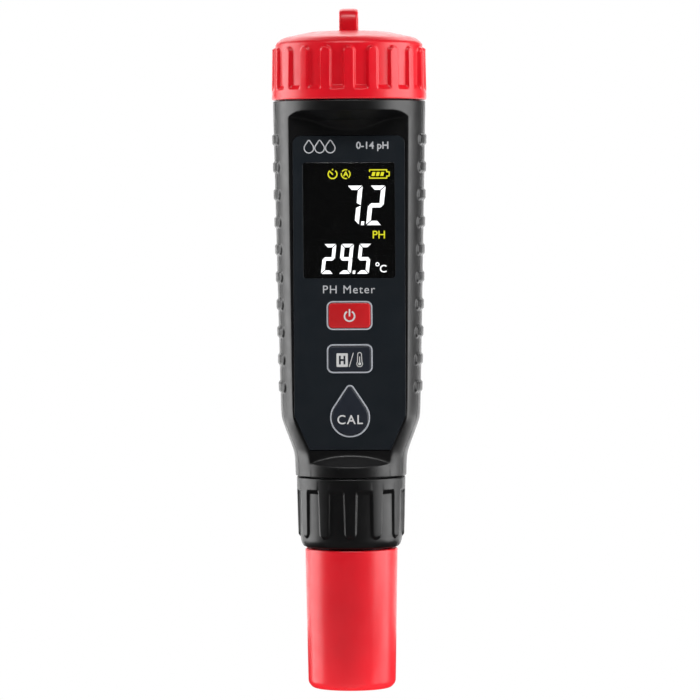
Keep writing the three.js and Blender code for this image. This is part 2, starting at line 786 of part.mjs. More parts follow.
// Strips join the two cells of each side at the top and the rear pair at the bottom.
const lowerStripBase = lowerDiskTop + gap;
for (const [sideName, x] of Object.entries(sides)) {
  place(`top_contact_${sideName}`, contactStrip([x, frontRow], [x, rearRow], cellTop + gap), steel);
  place(`terminal_${sideName}`, contactStrip([x, frontRow], [x, frontRow], lowerStripBase), steel);
  const spring = revolve([
    [0, 0],
    [springFootRadius, 0],
    [springTopRadius, springHeight - gap],
    [0, springHeight - gap],
  ], 12);
  place(`contact_spring_${sideName}`, spring.translate([x, frontRow, tubeFloorTop + gap]), gold);
}
const bridge = contactStrip([sides.left, rearRow], [sides.right, rearRow], lowerStripBase);
place('bottom_contact_bridge', bridge, steel);

// ---------------------------------------------------------------- front and rear shells

const shoulderTop = bodyBase + bodyNeckHeight + bodyShoulderRise;

/** Everything behind the face at a depth below its surface, as far as the body reaches. */
function behindFace(depth) {
  const reach = 3 * bodyTopRadius;
  return onFace(block([-reach, depth, -bodyHeight], [reach, reach, 2 * bodyHeight]));
}

/** The body's outer form grown outwards by an amount, closed at both ends. */
function bodyForm(grow) {
  const round = revolve([
    [0, bodyBase],
    [bodyNeckRadius - bodyNeckTaper + grow, bodyBase],
    [bodyNeckRadius + grow, bodyBase + bodyNeckHeight],
    [bodyShoulderRadius + grow, shoulderTop],
    [bodyTopRadius + grow, bodyTop - bodyRimHeight],
    [bodyTopRadius + grow, bodyTop],
    [0, bodyTop],
  ]);
  const upperSweep = revolve([
    [0, bodyTop - faceFromTop - 1],
    [bodyTopRadius - upperSweepReach, bodyTop - upperSweepFoot],
    [bodyTopRadius - upperSweepBend, bodyTop - upperSweepMiddle],
    [bodyTopRadius + 1, bodyTop - upperSweepTop],
    [bodyTopRadius + 1, bodyTop + 1],
    [0, bodyTop + 1],
  ]);
  const lowerSweep = revolve([
    [0, bodyBase - 1],
    [bodyNeckRadius + 1, bodyBase - 1],
    [bodyNeckRadius + 1, bodyBase + lowerSweepFoot],
    [faceDepth, bodyBase + lowerSweepTop],
    [0, bodyBase + faceFromBase],
  ]);
  return round.intersect(union([behindFace(0), upperSweep, lowerSweep]));
}

const gripSlots = [];
for (let i = 0; i < gripCount; i++) {
  const height = bodyTop - gripFromTop - i * gripPitch;
  gripSlots.push(plate(roundedRectangle(gripReach, gripHeight, gripHeight / 2 - 0.1, 0, height),
    -3 * bodyTopRadius, 3 * bodyTopRadius, 1).rotate([0, 0, 90]));
}
const grip = bodyForm(gripProud).intersect(union(gripSlots));

const cavityTop = bodyTop - ceilingThickness;
const cavityBase = bodyBase + floorThickness;
const cavity = revolve([
  [0, cavityBase],
  [bodyNeckRadius - shellWall, cavityBase],
  [bodyNeckRadius - shellWall, bodyBase + bodyNeckHeight],
  [bodyShoulderRadius - shellWall, shoulderTop],
  [bodyTopRadius - shellWall, cavityTop],
  [0, cavityTop],
]).intersect(behindFace(faceWall));
const bores = union([
  prism(flattenedCircle(bayRadius + gap, tubeFlatOutside - gap), cavityTop - 1, tubeRoundBase, medium),
  disk(neckRadius + gap, tubeRoundBase - gap, bodyTop + 1),
  disk(tubeFlangeRadius + gap, tubeFlangeBase - gap, tubeFlangeTop + gap),
  disk(socketOutside + gap, bodyBase, cavityBase + 1),
  disk(portFlangeRadius + gap, portFlangeBase - gap, portFlangeTop + gap),
  disk(portRadius + gap, bodyBase - 1, portFlangeBase),
]);

const overlayTop = faceLength - overlayInset;
const windowBottom = tubeFloorBase - faceBase - windowDrop;
const windowMiddle = windowBottom + windowHeight / 2;
const windowTop = windowBottom + windowHeight;
const powerKeyHeight = windowBottom - firstKeyDrop;
const holdKeyHeight = powerKeyHeight - keyPitch;
const dropTip = windowBottom - dropKeyDrop;

/** Outline of the printed overlay, grown outwards by an amount. */
function overlayOutline(grow) {
  const half = overlayWidth / 2 + grow;
  const foot = overlayFootWidth / 2 + grow;
  const corner = overlayCorner;
  const top = overlayTop + grow;
  const outline = new THREE.Shape();
  outline.moveTo(-foot, overlayRise - grow);
  outline.lineTo(foot, overlayRise - grow);
  outline.lineTo(half, overlaySlant);
  outline.absarc(half - corner, top - corner, corner, 0, Math.PI / 2);
  outline.absarc(-half + corner, top - corner, corner, Math.PI / 2, Math.PI);
  outline.lineTo(-half, overlaySlant);
  outline.closePath();
  return outline;
}

/** Outlines of the openings in the face, each grown by an amount: the window and the three keys. */
function faceOpenings(grow, Kind) {
  const width = keyWidth + 2 * grow;
  const height = keyHeight + 2 * grow;
  return [
    roundedRectangle(windowWidth + 2 * grow, windowHeight + 2 * grow, windowCorner, 0, windowMiddle, Kind),
    roundedRectangle(width, height, keyCorner + grow, 0, powerKeyHeight, Kind),
    roundedRectangle(width, height, keyCorner + grow, 0, holdKeyHeight, Kind),
    dropOutline(dropTip, grow, Kind),
  ];
}

const openingCuts = faceOpenings(gap, THREE.Shape).map(outline => plate(outline, -1, faceWall + 1));
const faceCuts = onFace(union([plate(overlayOutline(gap), -2, faceRecess), ...openingCuts]));

// Four bosses inside the front shell take the board's screws.
const boardTop = windowBottom + boardTopRise;
const screwPlaces = [];
for (const x of [-screwSpread / 2, screwSpread / 2]) {
  screwPlaces.push([x, windowBottom - screwDrop]);
  screwPlaces.push([x, dropTip - 3]);
}
const bossRoot = faceWall - 0.2;
const bosses = screwPlaces.map(([x, z]) => rod(x, z, bossRadius, bossRoot, boardDepth - gap, 12)
  .subtract(rod(x, z, screwRadius + gap, screwTipDepth, boardDepth, 8)));

const shell = bodyForm(0).add(grip).subtract(cavity).subtract(bores).subtract(faceCuts);
const reach = 2 * bodyTopRadius;
const frontHalf = block([-reach, -reach, 0], [reach, -partingDepth - gap / 2, 2 * bodyTop]);
const rearHalf = block([-reach, -partingDepth + gap / 2, 0], [reach, reach, 2 * bodyTop]);
place('front_shell', shell.intersect(frontHalf).add(onFace(union(bosses))), blackPlastic);
place('rear_shell', shell.intersect(rearHalf), blackPlastic);

// ---------------------------------------------------------------- overlay, display and keys

const overlay = overlayOutline(0);
overlay.holes.push(...faceOpenings(gap, THREE.Path));
place('front_overlay', plate(overlay, 0, overlayThickness), overlayFilm, face);

const lensFront = 0.1;
const lensOutline = roundedRectangle(windowWidth, windowHeight, windowCorner, 0, windowMiddle);
place('display_lens', plate(lensOutline, lensFront, faceWall - gap), blackGlass, face);

const glassFront = faceWall + gap;
const glassBack = glassFront + glassThickness;
const halfGlass = windowWidth / 2 + glassEdge;
place('lcd_glass', block([-halfGlass, glassFront, windowBottom - glassEdge],
  [halfGlass, glassBack, windowTop + glassEdge]), glass, face);
const halfLight = halfGlass - 1;
const lightBase = windowBottom + stripRise + gap + 0.1;
place('lcd_backlight', block([-halfLight, glassBack + gap, lightBase],
  [halfLight, glassBack + gap + backlightThickness, windowTop]), clearPlastic, face);
place('lcd_connector_strip', block([-halfLight, glassBack + gap, windowBottom - stripDrop],
  [halfLight, boardDepth - gap, windowBottom + stripRise]), greyPlastic, face);

const keyFlangeFront = faceWall + gap;
const keyFlangeBack = keyFlangeFront + keyFlangeThickness;
const switchBack = boardDepth - gap;
const switchFront = switchBack - switchHeight;

/** One key, its switch and the switch's plunger; the outline may be grown. */
function makeKey(name, outline, height, material) {
  const flange = plate(outline(keyFlange), keyFlangeFront, keyFlangeBack);
  place(`${name}_key`, plate(outline(0), -keyProud, keyFlangeBack).add(flange), material, face);
  const plunger = rod(0, height, plungerRadius, keyFlangeBack + gap, switchBack - keyTravel);
  place(`${name}_plunger`, plunger, steel, face);
  const half = switchSize / 2;
  const base = block([-half, switchFront, height - half], [half, switchBack, height + half]);
  place(`${name}_switch`, base.subtract(rod(0, height, plungerRadius + gap, 0, boardDepth)), chip, face);
}

/** Outline of a rectangular key at a height on the face. */
function rectangularKey(height) {
  return grow => roundedRectangle(keyWidth + 2 * grow, keyHeight + 2 * grow, keyCorner + grow, 0, height);
}

makeKey('power', rectangularKey(powerKeyHeight), powerKeyHeight, redPlastic);
makeKey('hold', rectangularKey(holdKeyHeight), holdKeyHeight, navyKey);
makeKey('cal', grow => dropOutline(dropTip, grow), dropTip - dropKeyLength + dropKeyRadius, navyKey);

// ---------------------------------------------------------------- circuit board

const boardBack = boardDepth + boardThickness;
const boardOutline = new THREE.Shape();
boardOutline.moveTo(-boardFootWidth / 2, boardFootRise);
boardOutline.lineTo(boardFootWidth / 2, boardFootRise);
boardOutline.lineTo(boardWidth / 2, boardSlantRise);
boardOutline.lineTo(boardWidth / 2, boardTop);
boardOutline.lineTo(-boardWidth / 2, boardTop);
boardOutline.lineTo(-boardWidth / 2, boardSlantRise);
boardOutline.closePath();
const screwHoles = screwPlaces.map(([x, z]) => rod(x, z, screwRadius + gap, 0, 2 * boardBack, 8));
place('main_board', plate(boardOutline, boardDepth, boardBack).subtract(union(screwHoles)), board, face);

const headFront = boardBack + gap;
screwPlaces.forEach(([x, z], i) => {
  const screw = rod(x, z, screwRadius, screwTipDepth + gap, headFront + 0.1, 8)
    .add(rod(x, z, screwHeadRadius, headFront, headFront + screwHeadHeight));
  place(`board_screw_${i + 1}`, screw, steel, face);
});

/** Chip on the back of the board, centred at a height on the face. */
function chipBlock(width, height, middle) {
  const front = boardBack + gap;
  const base = middle - height / 2;
  return block([-width / 2, front, base], [width / 2, front + chipHeight, base + height]);
}

const amplifierMiddle = dropTip - 6;
place('processor_chip', chipBlock(processorSize, processorSize, powerKeyHeight), chip, face);
place('amplifier_chip', chipBlock(amplifierSize, amplifierLength, amplifierMiddle), chip, face);

export default meter;
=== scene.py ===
"""A pen-style pH meter standing on its storage cap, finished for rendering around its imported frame."""
import json
import bpy
import bmesh
import numpy as np
from math import asin, cos, pi, radians, sin, tau
from mathutils import Matrix, Vector
from mathutils.geometry import tessellate_polygon


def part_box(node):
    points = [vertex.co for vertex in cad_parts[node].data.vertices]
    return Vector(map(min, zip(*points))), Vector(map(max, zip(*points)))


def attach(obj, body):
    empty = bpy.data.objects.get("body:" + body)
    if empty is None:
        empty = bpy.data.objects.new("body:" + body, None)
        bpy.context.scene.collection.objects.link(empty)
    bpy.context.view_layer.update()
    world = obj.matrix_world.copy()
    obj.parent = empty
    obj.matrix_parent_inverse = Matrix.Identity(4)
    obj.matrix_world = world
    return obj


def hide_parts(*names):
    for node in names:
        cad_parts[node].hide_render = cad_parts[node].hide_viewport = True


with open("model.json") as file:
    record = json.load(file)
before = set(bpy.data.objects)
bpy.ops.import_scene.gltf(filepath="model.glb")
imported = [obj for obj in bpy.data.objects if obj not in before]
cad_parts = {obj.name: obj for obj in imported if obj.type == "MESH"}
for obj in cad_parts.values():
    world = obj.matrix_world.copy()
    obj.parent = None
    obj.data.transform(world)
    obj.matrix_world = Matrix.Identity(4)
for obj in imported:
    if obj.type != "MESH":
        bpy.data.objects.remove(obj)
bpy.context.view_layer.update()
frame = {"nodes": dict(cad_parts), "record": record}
mm = 0.001

# ------------------------------------------------------------------ storage cap
# The red cup that keeps the electrode's tip wet. Injection-moulded in satin polypropylene with a slight
# draft and a rounded foot, it pushes over an O-ring on the electrode's head, and the pen stands on it.


def top_of(node):
    """Height of a node's highest point, in millimetres."""
    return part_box(node)[1][2] / mm


def base_of(node):
    """Height of a node's lowest point, in millimetres."""
    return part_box(node)[0][2] / mm


def build(name, points, faces, crease=35):
    """Closed mesh object from points in millimetres. Doubled points are merged, so poles and seams close, and
    every face is turned to point outwards."""
    mesh = bpy.data.meshes.new(name)
    mesh.from_pydata((np.asarray(points).reshape(-1, 3) * mm).tolist(), [], faces)
    form = bmesh.new()
    form.from_mesh(mesh)
    bmesh.ops.remove_doubles(form, verts=form.verts, dist=1e-7)
    bmesh.ops.dissolve_degenerate(form, edges=form.edges, dist=1e-8)
    bmesh.ops.recalc_face_normals(form, faces=form.faces)
    form.to_mesh(mesh)
    form.free()
    mesh.shade_smooth()
    mesh.set_sharp_from_angle(angle=radians(crease))
    piece = bpy.data.objects.new(name, mesh)
    bpy.context.scene.collection.objects.link(piece)
    return piece


def grid_faces(rows, columns, wrap_rows=False, wrap_columns=False):
    """Quads of a rows by columns grid of points, numbered row by row, closed on itself where asked."""
    r = np.arange(rows if wrap_rows else rows - 1)[:, None]
    c = np.arange(columns if wrap_columns else columns - 1)[None, :]
    r1, c1 = (r + 1) % rows, (c + 1) % columns
    quads = np.stack([r * columns + c, r * columns + c1, r1 * columns + c1, r1 * columns + c], axis=-1)
    return quads.reshape(-1, 4).tolist()


def turned(radii, heights, sides):
    """Points of a surface of revolution: each profile point (radius, height) is carried round Z, so that
    x = radius times sine, y = minus radius times cosine. Radii may be one per profile point or a whole grid."""
    angle = np.linspace(0, tau, sides, endpoint=False)
    radii = np.broadcast_to(np.asarray(radii, float).reshape(len(heights), -1), (len(heights), sides))
    x, y = radii * np.sin(angle), -radii * np.cos(angle)
    return np.stack([x, y, np.broadcast_to(np.asarray(heights)[:, None], x.shape)], axis=-1)


def rounded(corners, cut, steps=5):
    """Profile through corner points with every inner corner rounded: each is replaced by a quadratic curve that
    starts and ends at most the cut distance away from it along the two sides that meet there."""
    corners = np.asarray(corners, float)
    line = [corners[0]]
    for before, corner, after in zip(corners, corners[1:], corners[2:]):
        a, b = before - corner, after - corner
        reach = min(cut, 0.45 * np.linalg.norm(a), 0.45 * np.linalg.norm(b))
        start = corner + a / np.linalg.norm(a) * reach
        end = corner + b / np.linalg.norm(b) * reach
        t = np.linspace(0, 1, steps)[:, None]
        line.extend((1 - t) ** 2 * start + 2 * t * (1 - t) * corner + t ** 2 * end)
    line.append(corners[-1])
    return np.array(line)


def lathe(name, corners, cut=0.25, sides=128, crease=35):
    """Piece turned from a rounded profile of (radius, height) corners that starts and ends on the axis, or that
    closes on itself when its first and last corner are the same."""
    profile = rounded(corners, cut)
    grid = turned(profile[:, 0], profile[:, 1], sides)
    return build(name, grid, grid_faces(len(profile), sides, wrap_columns=True), crease)


def shader(name, colour, roughness, metallic=0.0):
    """New material with one Principled shader; returns it with its node tree and the shader."""
    material = bpy.data.materials.new(name)
    material.use_nodes = True
    tree = material.node_tree
    surface = tree.nodes["Principled BSDF"]
    surface.inputs["Base Color"].default_value = (*colour, 1)
    surface.inputs["Roughness"].default_value = roughness
    surface.inputs["Metallic"].default_value = metallic
    return material, tree, surface


def noise(tree, per_mm, detail=2.0, stretch=(1, 1, 1)):
    """Noise over Object coordinates with the given number of cells per millimetre; returns its Fac socket."""
    place = tree.nodes.new("ShaderNodeTexCoord")
    turn = tree.nodes.new("ShaderNodeMapping")
    turn.inputs["Scale"].default_value = stretch
    tree.links.new(place.outputs["Object"], turn.inputs["Vector"])
    cells = tree.nodes.new("ShaderNodeTexNoise")
    cells.inputs["Scale"].default_value = per_mm / mm
    cells.inputs["Detail"].default_value = detail
    tree.links.new(turn.outputs["Vector"], cells.inputs["Vector"])
    return cells.outputs["Fac"]


def spread(tree, fac, low, high):
    """Maps a noise value from its usual 0.3 to 0.7 onto low to high; returns the socket."""
    scale = tree.nodes.new("ShaderNodeMapRange")
    scale.inputs["From Min"].default_value = 0.3
    scale.inputs["From Max"].default_value = 0.7
    scale.inputs["To Min"].default_value = low
    scale.inputs["To Max"].default_value = high
    tree.links.new(fac, scale.inputs["Value"])
    return scale.outputs["Result"]


def tint(tree, fac, colour, change):
    """Colour that drifts with a noise value between the given one darkened and brightened by the change."""
    mix = tree.nodes.new("ShaderNodeMix")
    mix.data_type = "RGBA"
    mix.inputs["A"].default_value = (*(c * (1 - change) for c in colour), 1)
    mix.inputs["B"].default_value = (*(min(1, c * (1 + change)) for c in colour), 1)
    tree.links.new(spread(tree, fac, 0, 1), mix.inputs["Factor"])
    return mix.outputs["Result"]


def bump(tree, surface, fac, depth):
    """Adds a height of the given depth in millimetres, from a noise value, to the shader's normal."""
    relief = tree.nodes.new("ShaderNodeBump")
    relief.inputs["Distance"].default_value = depth * mm
    relief.inputs["Strength"].default_value = 1
    tree.links.new(fac, relief.inputs["Height"])
    tree.links.new(relief.outputs["Normal"], surface.inputs["Normal"])


def moulded(name, colour, roughness, drift=0.06, grain=4.0, depth=0.004):
    """Moulded plastic: the colour drifts slowly, the roughness varies in patches, and a fine spark-eroded
    grain stands on the surface."""
    material, tree, surface = shader(name, colour, roughness)
    tree.links.new(tint(tree, noise(tree, 0.06), colour, drift), surface.inputs["Base Color"])
    tree.links.new(spread(tree, noise(tree, 0.3), roughness - 0.04, roughness + 0.04), surface.inputs["Roughness"])
    bump(tree, surface, noise(tree, grain, 3.0), depth)
    return material


def finish(piece, material, body, slot, *nodes):
    """Gives a finished piece its material and its body, and hides the CAD nodes that it stands for; the slot is not
    used.
    """
    piece.data.materials.clear()
    piece.data.materials.append(material)
    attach(piece, body)
    if nodes:
        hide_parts(*nodes)
    return piece


red_plastic = moulded("red_satin_plastic", (0.70, 0.004, 0.014), 0.33)
storage_top, storage_foot = 12.3, 11.6
storage_wall, storage_floor = 1.4, 2.0
cap_height = top_of("storage_cap")
storage_cap = lathe("red_storage_cap", [
    (0, 0.35), (storage_foot - 2.2, 0.35), (storage_foot - 2.5, 0), (storage_foot - 1.2, 0), (storage_foot, 1.3),
    (storage_top, cap_height), (storage_top - storage_wall, cap_height),
    (storage_foot - storage_wall, storage_floor), (0, storage_floor)], cut=0.9)
finish(storage_cap, red_plastic, "storage_cap", "red_plastic", "storage_cap")

# ------------------------------------------------------------------ storage sponge
# A disc of open-cell foam pressed into the bottom of the cap. It holds the storage solution; its edge is
# soft and its faces crown a little because it is cut slightly too large for its seat.

sponge_low, sponge_high = base_of("storage_sponge"), top_of("storage_sponge")
sponge_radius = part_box("storage_sponge")[1][0] / mm


def crowned_disc(radius, low, high, rows=20, sides=96):
    """Points of a soft disc: going over a superellipse section, radius = R times |cos u| to the power 0.35 and
    height = middle plus half thickness times sin u to the power 0.6, with u from the bottom pole to the top."""
    u = np.linspace(-pi / 2, pi / 2, rows)
    radii = radius * np.abs(np.cos(u)) ** 0.35
    radii[[0, -1]] = 0
    heights = (low + high) / 2 + (high - low) / 2 * np.sign(np.sin(u)) * np.abs(np.sin(u)) ** 0.6
    return turned(radii, heights, sides)


foam, foam_tree, foam_surface = shader("yellow_open_cell_foam", (0.78, 0.56, 0.16), 0.95)
foam_cells = noise(foam_tree, 1.6, 4.0)
foam_tree.links.new(tint(foam_tree, foam_cells, (0.72, 0.5, 0.14), 0.35), foam_surface.inputs["Base Color"])
bump(foam_tree, foam_surface, foam_cells, 0.25)
sponge = build("foam_sponge", crowned_disc(sponge_radius, sponge_low, sponge_high),
               grid_faces(20, 96, wrap_columns=True))
finish(sponge, foam, "storage_cap", "sponge", "storage_sponge")

# ------------------------------------------------------------------ lock collar
# The black ring that screws the electrode to the body. Moulded in satin ABS, with a plain band at the top and
# twelve finger ribs whose lower ends run out in a rounded U above a bevelled foot; its thread is inside.


def smooth_step(value, low, high):
    """0 below low, 1 above high, and the cubic 3t squared minus 2t cubed between."""
    t = np.clip((value - low) / (high - low), 0, 1)
    return t * t * (3 - 2 * t)


def smooth_min(a, b, blend):
    """Smaller of two surfaces with their crease rounded: the mean minus half the root of their squared
    difference plus the squared blend."""
    return (a + b - np.sqrt((a - b) ** 2 + blend ** 2)) / 2


def smooth_max(a, b, blend):
    """Larger of two surfaces, rounded in the same way."""
    return (a + b + np.sqrt((a - b) ** 2 + blend ** 2)) / 2


def from_rib(angle, count, radius, turn=0.0):
    """Distance along the circumference from the middle of the nearest of count ribs, in millimetres."""
    pitch = tau / count
    return np.abs((angle - turn + pitch / 2) % pitch - pitch / 2) * radius


def thread(name, root, crest, root_width, crest_width, pitch, turns, upper_end, steps_per_turn=64):
    """Right-hand thread ridge: a trapezoid section (root and crest radius, axial half widths) is carried down a
    helix, height = upper end minus pitch times turns done, and its crest sinks to the root over both ends."""
    steps = int(turns * steps_per_turn) + 1
    done = np.linspace(0, turns, steps)[:, None]
    lead_in = smooth_step(np.minimum(done, turns - done), 0, 0.12)
    radial = np.array([0, 1, 1, 0]) * lead_in
    radius = root + (crest - root) * np.maximum(radial, 0.02)
    axial = np.array([-root_width, -crest_width, crest_width, root_width]) / 2
    height = upper_end - pitch * done + axial
    angle = -tau * done
    points = np.stack([radius * np.cos(angle), radius * np.sin(angle), height], axis=-1)
    faces = grid_faces(steps, 4, wrap_columns=True)
    faces += [[0, 1, 2, 3], [4 * steps - 1, 4 * steps - 2, 4 * steps - 3, 4 * steps - 4]]
    return build(name, points, faces)


black_plastic = moulded("black_satin_plastic", (0.0028, 0.0028, 0.0032), 0.38, drift=0.12, grain=5.0, depth=0.003)
collar_low, collar_high = base_of("lock_collar"), top_of("lock_collar")
collar_bore, lip_bore, lip_top = 12.9, 10.3, collar_low + 3.5
collar_rows = np.linspace(collar_low + 0.3, collar_high - 0.3, 110)
collar_ribs = 12
collar_sides = collar_ribs * 40
collar_angle = np.linspace(0, tau, collar_sides, endpoint=False)[None, :]
z = collar_rows[:, None]
rib_face = np.interp(z, [collar_low + 4, collar_high], [14.1, 14.45])
valley_face = np.interp(z, [collar_low + 2.5, collar_low + 4, collar_high - 4.1, collar_high - 3.0],
                        [13.55, 13.55, 13.7, 14.45])
half_rib = np.interp(z, [collar_low + 3, collar_high - 3], [1.25, 1.6])
rib_end = collar_low + 4.3
beside = from_rib(collar_angle, collar_ribs, rib_face)
from_edge = np.hypot(beside, np.minimum(z - rib_end, 0)) - half_rib
on_rib = 1 - smooth_step(from_edge, -0.1, 0.45)
face = valley_face + (rib_face - valley_face) * on_rib
foot_bevel = 12.15 + 1.75 * np.sqrt(np.clip((z - collar_low) / 3.1, 0, 1)) + np.clip(z - collar_low - 3.1, 0, 99)
collar_radii = smooth_min(face, foot_bevel, 0.25)
inside_radii = [collar_bore, collar_bore, lip_bore, lip_bore]
inside_heights = [collar_high, lip_top, lip_top, collar_low]
collar_grid = np.concatenate([
    turned([12.0], [collar_low], collar_sides),
    turned(collar_radii, collar_rows, collar_sides),
    turned([14.3, 14.05], [collar_high - 0.06, collar_high], collar_sides),
    turned(inside_radii, inside_heights, collar_sides)])
collar = build("ribbed_lock_collar", collar_grid, grid_faces(len(collar_grid), collar_sides, True, True), 50)
finish(collar, black_plastic, "lock_collar", "black_plastic", "lock_collar")
collar_thread_top = collar_low + 14.6
collar_thread = thread("collar_thread", collar_bore + 0.1, collar_bore - 0.8, 1.1, 0.6, 3, 1.5, collar_thread_top)
finish(collar_thread, black_plastic, "lock_collar", "black_plastic")

# ------------------------------------------------------------------ front and rear shells
# Two black ABS shells meet along a seam on each side. Together they are a round body that widens upwards, cut
# by a flat, slightly tilted face, which sweeps out to the full round below the battery cap and above the
# collar. Ten finger pads on each side straddle the seam.

body_low, body_high = base_of("rear_shell"), top_of("rear_shell")
shoulder = body_low + 15.3
face_depth, face_tilt = 10.4, radians(1.36)
face_base = body_low + 7.1
seam_depth, seam_gap = 5.5, 0.07
wall = 1.8


def round_radius(z):
    """Radius of the body before the face is cut: a nearly straight neck, a cone and a gentle taper, joined
    by rounded shoulders, and a small rounding at the upper rim."""
    neck = np.interp(z, [body_low, body_low + 6], [14.7, 14.85])
    cone = 14.85 + (z - body_low - 6) * (18.5 - 14.85) / 9.3
    taper = 18.5 + (z - shoulder) * (20.15 - 18.5) / (body_high - 2.6 - shoulder)
    side = smooth_min(smooth_max(neck, cone, 0.5), np.minimum(taper, 20.15), 0.5)
    rim = np.clip((body_high - z) / 0.3, 0, 1)
    foot = np.clip((z - body_low) / 0.25, 0, 1)
    return side - 0.3 * (1 - np.sqrt(1 - (1 - rim) ** 2)) - 0.25 * (1 - np.sqrt(1 - (1 - foot) ** 2))


def face_distance(z):
    """Distance from the axis to the flat face at a height: it leans outwards by its tilt as it rises."""
    return face_depth + (z - face_base) * np.tan(face_tilt)


def sweep_radius(across, z):
    """Radius of the two turned surfaces in front of the face: the upper one flares from the face out to the
    full round below the battery cap, the lower one is a bevel that closes down from the neck to the face. The
    upper one comes down by a quarter ellipse near both ends, which rounds the face's upper corners."""
    corner_width, corner_drop, face_half = 5.4, 3.6, 16.6
    near_end = np.clip((np.abs(across) - face_half + corner_width) / corner_width, 0, 1)
    below_rim = body_high - z - corner_drop * (1 - np.sqrt(1 - near_end ** 2))
    upper = np.interp(below_rim, [0, 2.4, 2.8, 5.3, 7.8, 9.0, 12.0], [30, 21.2, 20, 15.5, 12.35, 11.3, 8.9])
    above_neck = z - body_low - 0.006 * across ** 2
    lower = np.interp(above_neck, [0, 2.7, 5.5, 6.5], [16.4, 14.95, 10.3, 8.9])
    return np.maximum(upper, lower)


def pad_height(along, z):
    """Height of the finger pads: ten rounded rectangles 17 mm round and 3.2 mm tall, 7.25 mm apart, whose
    edges rise over half a millimetre. The distance along is measured round the body from its widest line."""
    first = body_high - 10.2
    nearest = first - 7.25 * np.clip(np.round((first - z) / 7.25), 0, 9)
    corner = 1.5
    past_end = np.maximum(np.abs(along) - (8.5 - corner), 0)
    past_side = np.maximum(np.abs(z - nearest) - (1.6 - corner), 0)
    return 0.45 * smooth_step(corner - np.hypot(past_end, past_side), -0.05, 0.6)


def body_radius(angle, z):
    """Radius of the finished body at an angle from the front and a height: the round form, held back to the
    face or to the sweeps in front, whichever stands further out, plus the finger pads."""
    facing = np.maximum(np.cos(angle), 1e-3)
    flat = face_distance(z) / facing
    fillet = np.interp(z, [face_base, face_base + 10], [0.8, 0.3])
    front = smooth_max(np.minimum(flat, 60), sweep_radius(round_radius(z) * np.sin(angle), z), fillet)
    radius = smooth_min(round_radius(z), front, np.interp(z, [face_base, face_base + 10], [0.6, 0.35]))
    along = (np.abs(angle) - pi / 2) * radius
    return radius + pad_height(along, z)


shell_rows = np.unique(np.concatenate([
    body_low + np.array([0, 0.03, 0.08, 0.15, 0.25]),
    np.arange(body_low + 0.4, body_low + 8, 0.14),
    np.arange(body_low + 8, body_high - 9.2, 0.27),
    np.arange(body_high - 9.2, body_high - 0.4, 0.14),
    body_high - np.array([0.3, 0.2, 0.12, 0.05, 0]),
]).round(4))
row = shell_rows[:, None]
edge_angle = np.arccos(np.clip(face_distance(row) / round_radius(row), -1, 1))
overlay_half, overlay_foot_half, overlay_slant, overlay_top = 14.7, 10.65, 9.1, 82.7
up_face = (row - face_base) / cos(face_tilt)
recess_depth, recess_gap = 0.9, 0.12


def overlay_edge(up, grow=0.0):
    """Half width of the overlay at a height up the face: a straight upper part, a slant towards the foot, and
    rounded top corners of 2 mm radius, all grown by an amount."""
    slant = np.interp(up, [0.1, overlay_slant], [overlay_foot_half, overlay_half])
    above = np.clip(up - (overlay_top - 2), 0, 2 + grow)
    return slant + grow - (2 + grow) + np.sqrt((2 + grow) ** 2 - above ** 2)


recess_edge = overlay_edge(up_face, recess_gap)
in_recess = (up_face > 0.1 - recess_gap) & (up_face < overlay_top + recess_gap)
recess_angle = np.arctan2(recess_edge, face_distance(row))
half_face = np.concatenate([
    np.linspace(0, 1, 28) * recess_angle,
    recess_angle + np.array([0.0006]),
    recess_angle + 0.0006 + (edge_angle - recess_angle - 0.03) * np.linspace(0.2, 1, 6),
    edge_angle + np.linspace(-0.024, 0.024, 9),
], axis=1)


def seam_angle(side):
    """Angle from the front at which the seam's plane meets the round body, in front or behind the seam."""
    return np.arccos((seam_depth - side * seam_gap / 2) / (round_radius(row) + pad_height(0.0, row)))


def bore_radius(z):
    """Radius that the inside may not pass: the port's and the socket's bores in the floor, the neck's at the top."""
    above_floor, below_rim = z - body_low, body_high - z
    return np.select([above_floor < 3.1, above_floor < 4.9, below_rim < 3.6], [11.9, 8.8, 17.25], 99.0)


def shell_points(outer_angles, outer_radii, sunk):
    """Cross-sections of a shell, one per row: the outer line and the inner line one wall further in, or at the
    bores, joined into a loop. The sunk array pushes the overlay's recess inwards along Y."""
    x, y = outer_radii * np.sin(outer_angles), -outer_radii * np.cos(outer_angles)
    outer = np.stack([x, y + sunk, np.broadcast_to(row, x.shape)], axis=-1)
    picks = np.linspace(0, outer_angles.shape[1] - 1, 24).round().astype(int)[::-1]
    inner_radii = np.minimum(outer_radii - wall, bore_radius(row))[:, picks]
    inner_angles = outer_angles[:, picks]
    edge = y[:, [-1, 0]]
    ix, iy = inner_radii * np.sin(inner_angles), -inner_radii * np.cos(inner_angles)
    iy[:, [0, -1]] = edge
    inner = np.stack([ix, iy, np.broadcast_to(row, ix.shape)], axis=-1)
    return np.concatenate([outer, inner], axis=1)


def shell_piece(name, loops):
    """Closes a stack of cross-section loops into one piece: quads between the rows, one polygon at each end."""
    rows, columns = loops.shape[:2]
    faces = grid_faces(rows, columns, wrap_columns=True)
    faces += [list(range(columns)), list(range(rows * columns - 1, (rows - 1) * columns - 1, -1))]
    return build(name, loops, faces, 42)


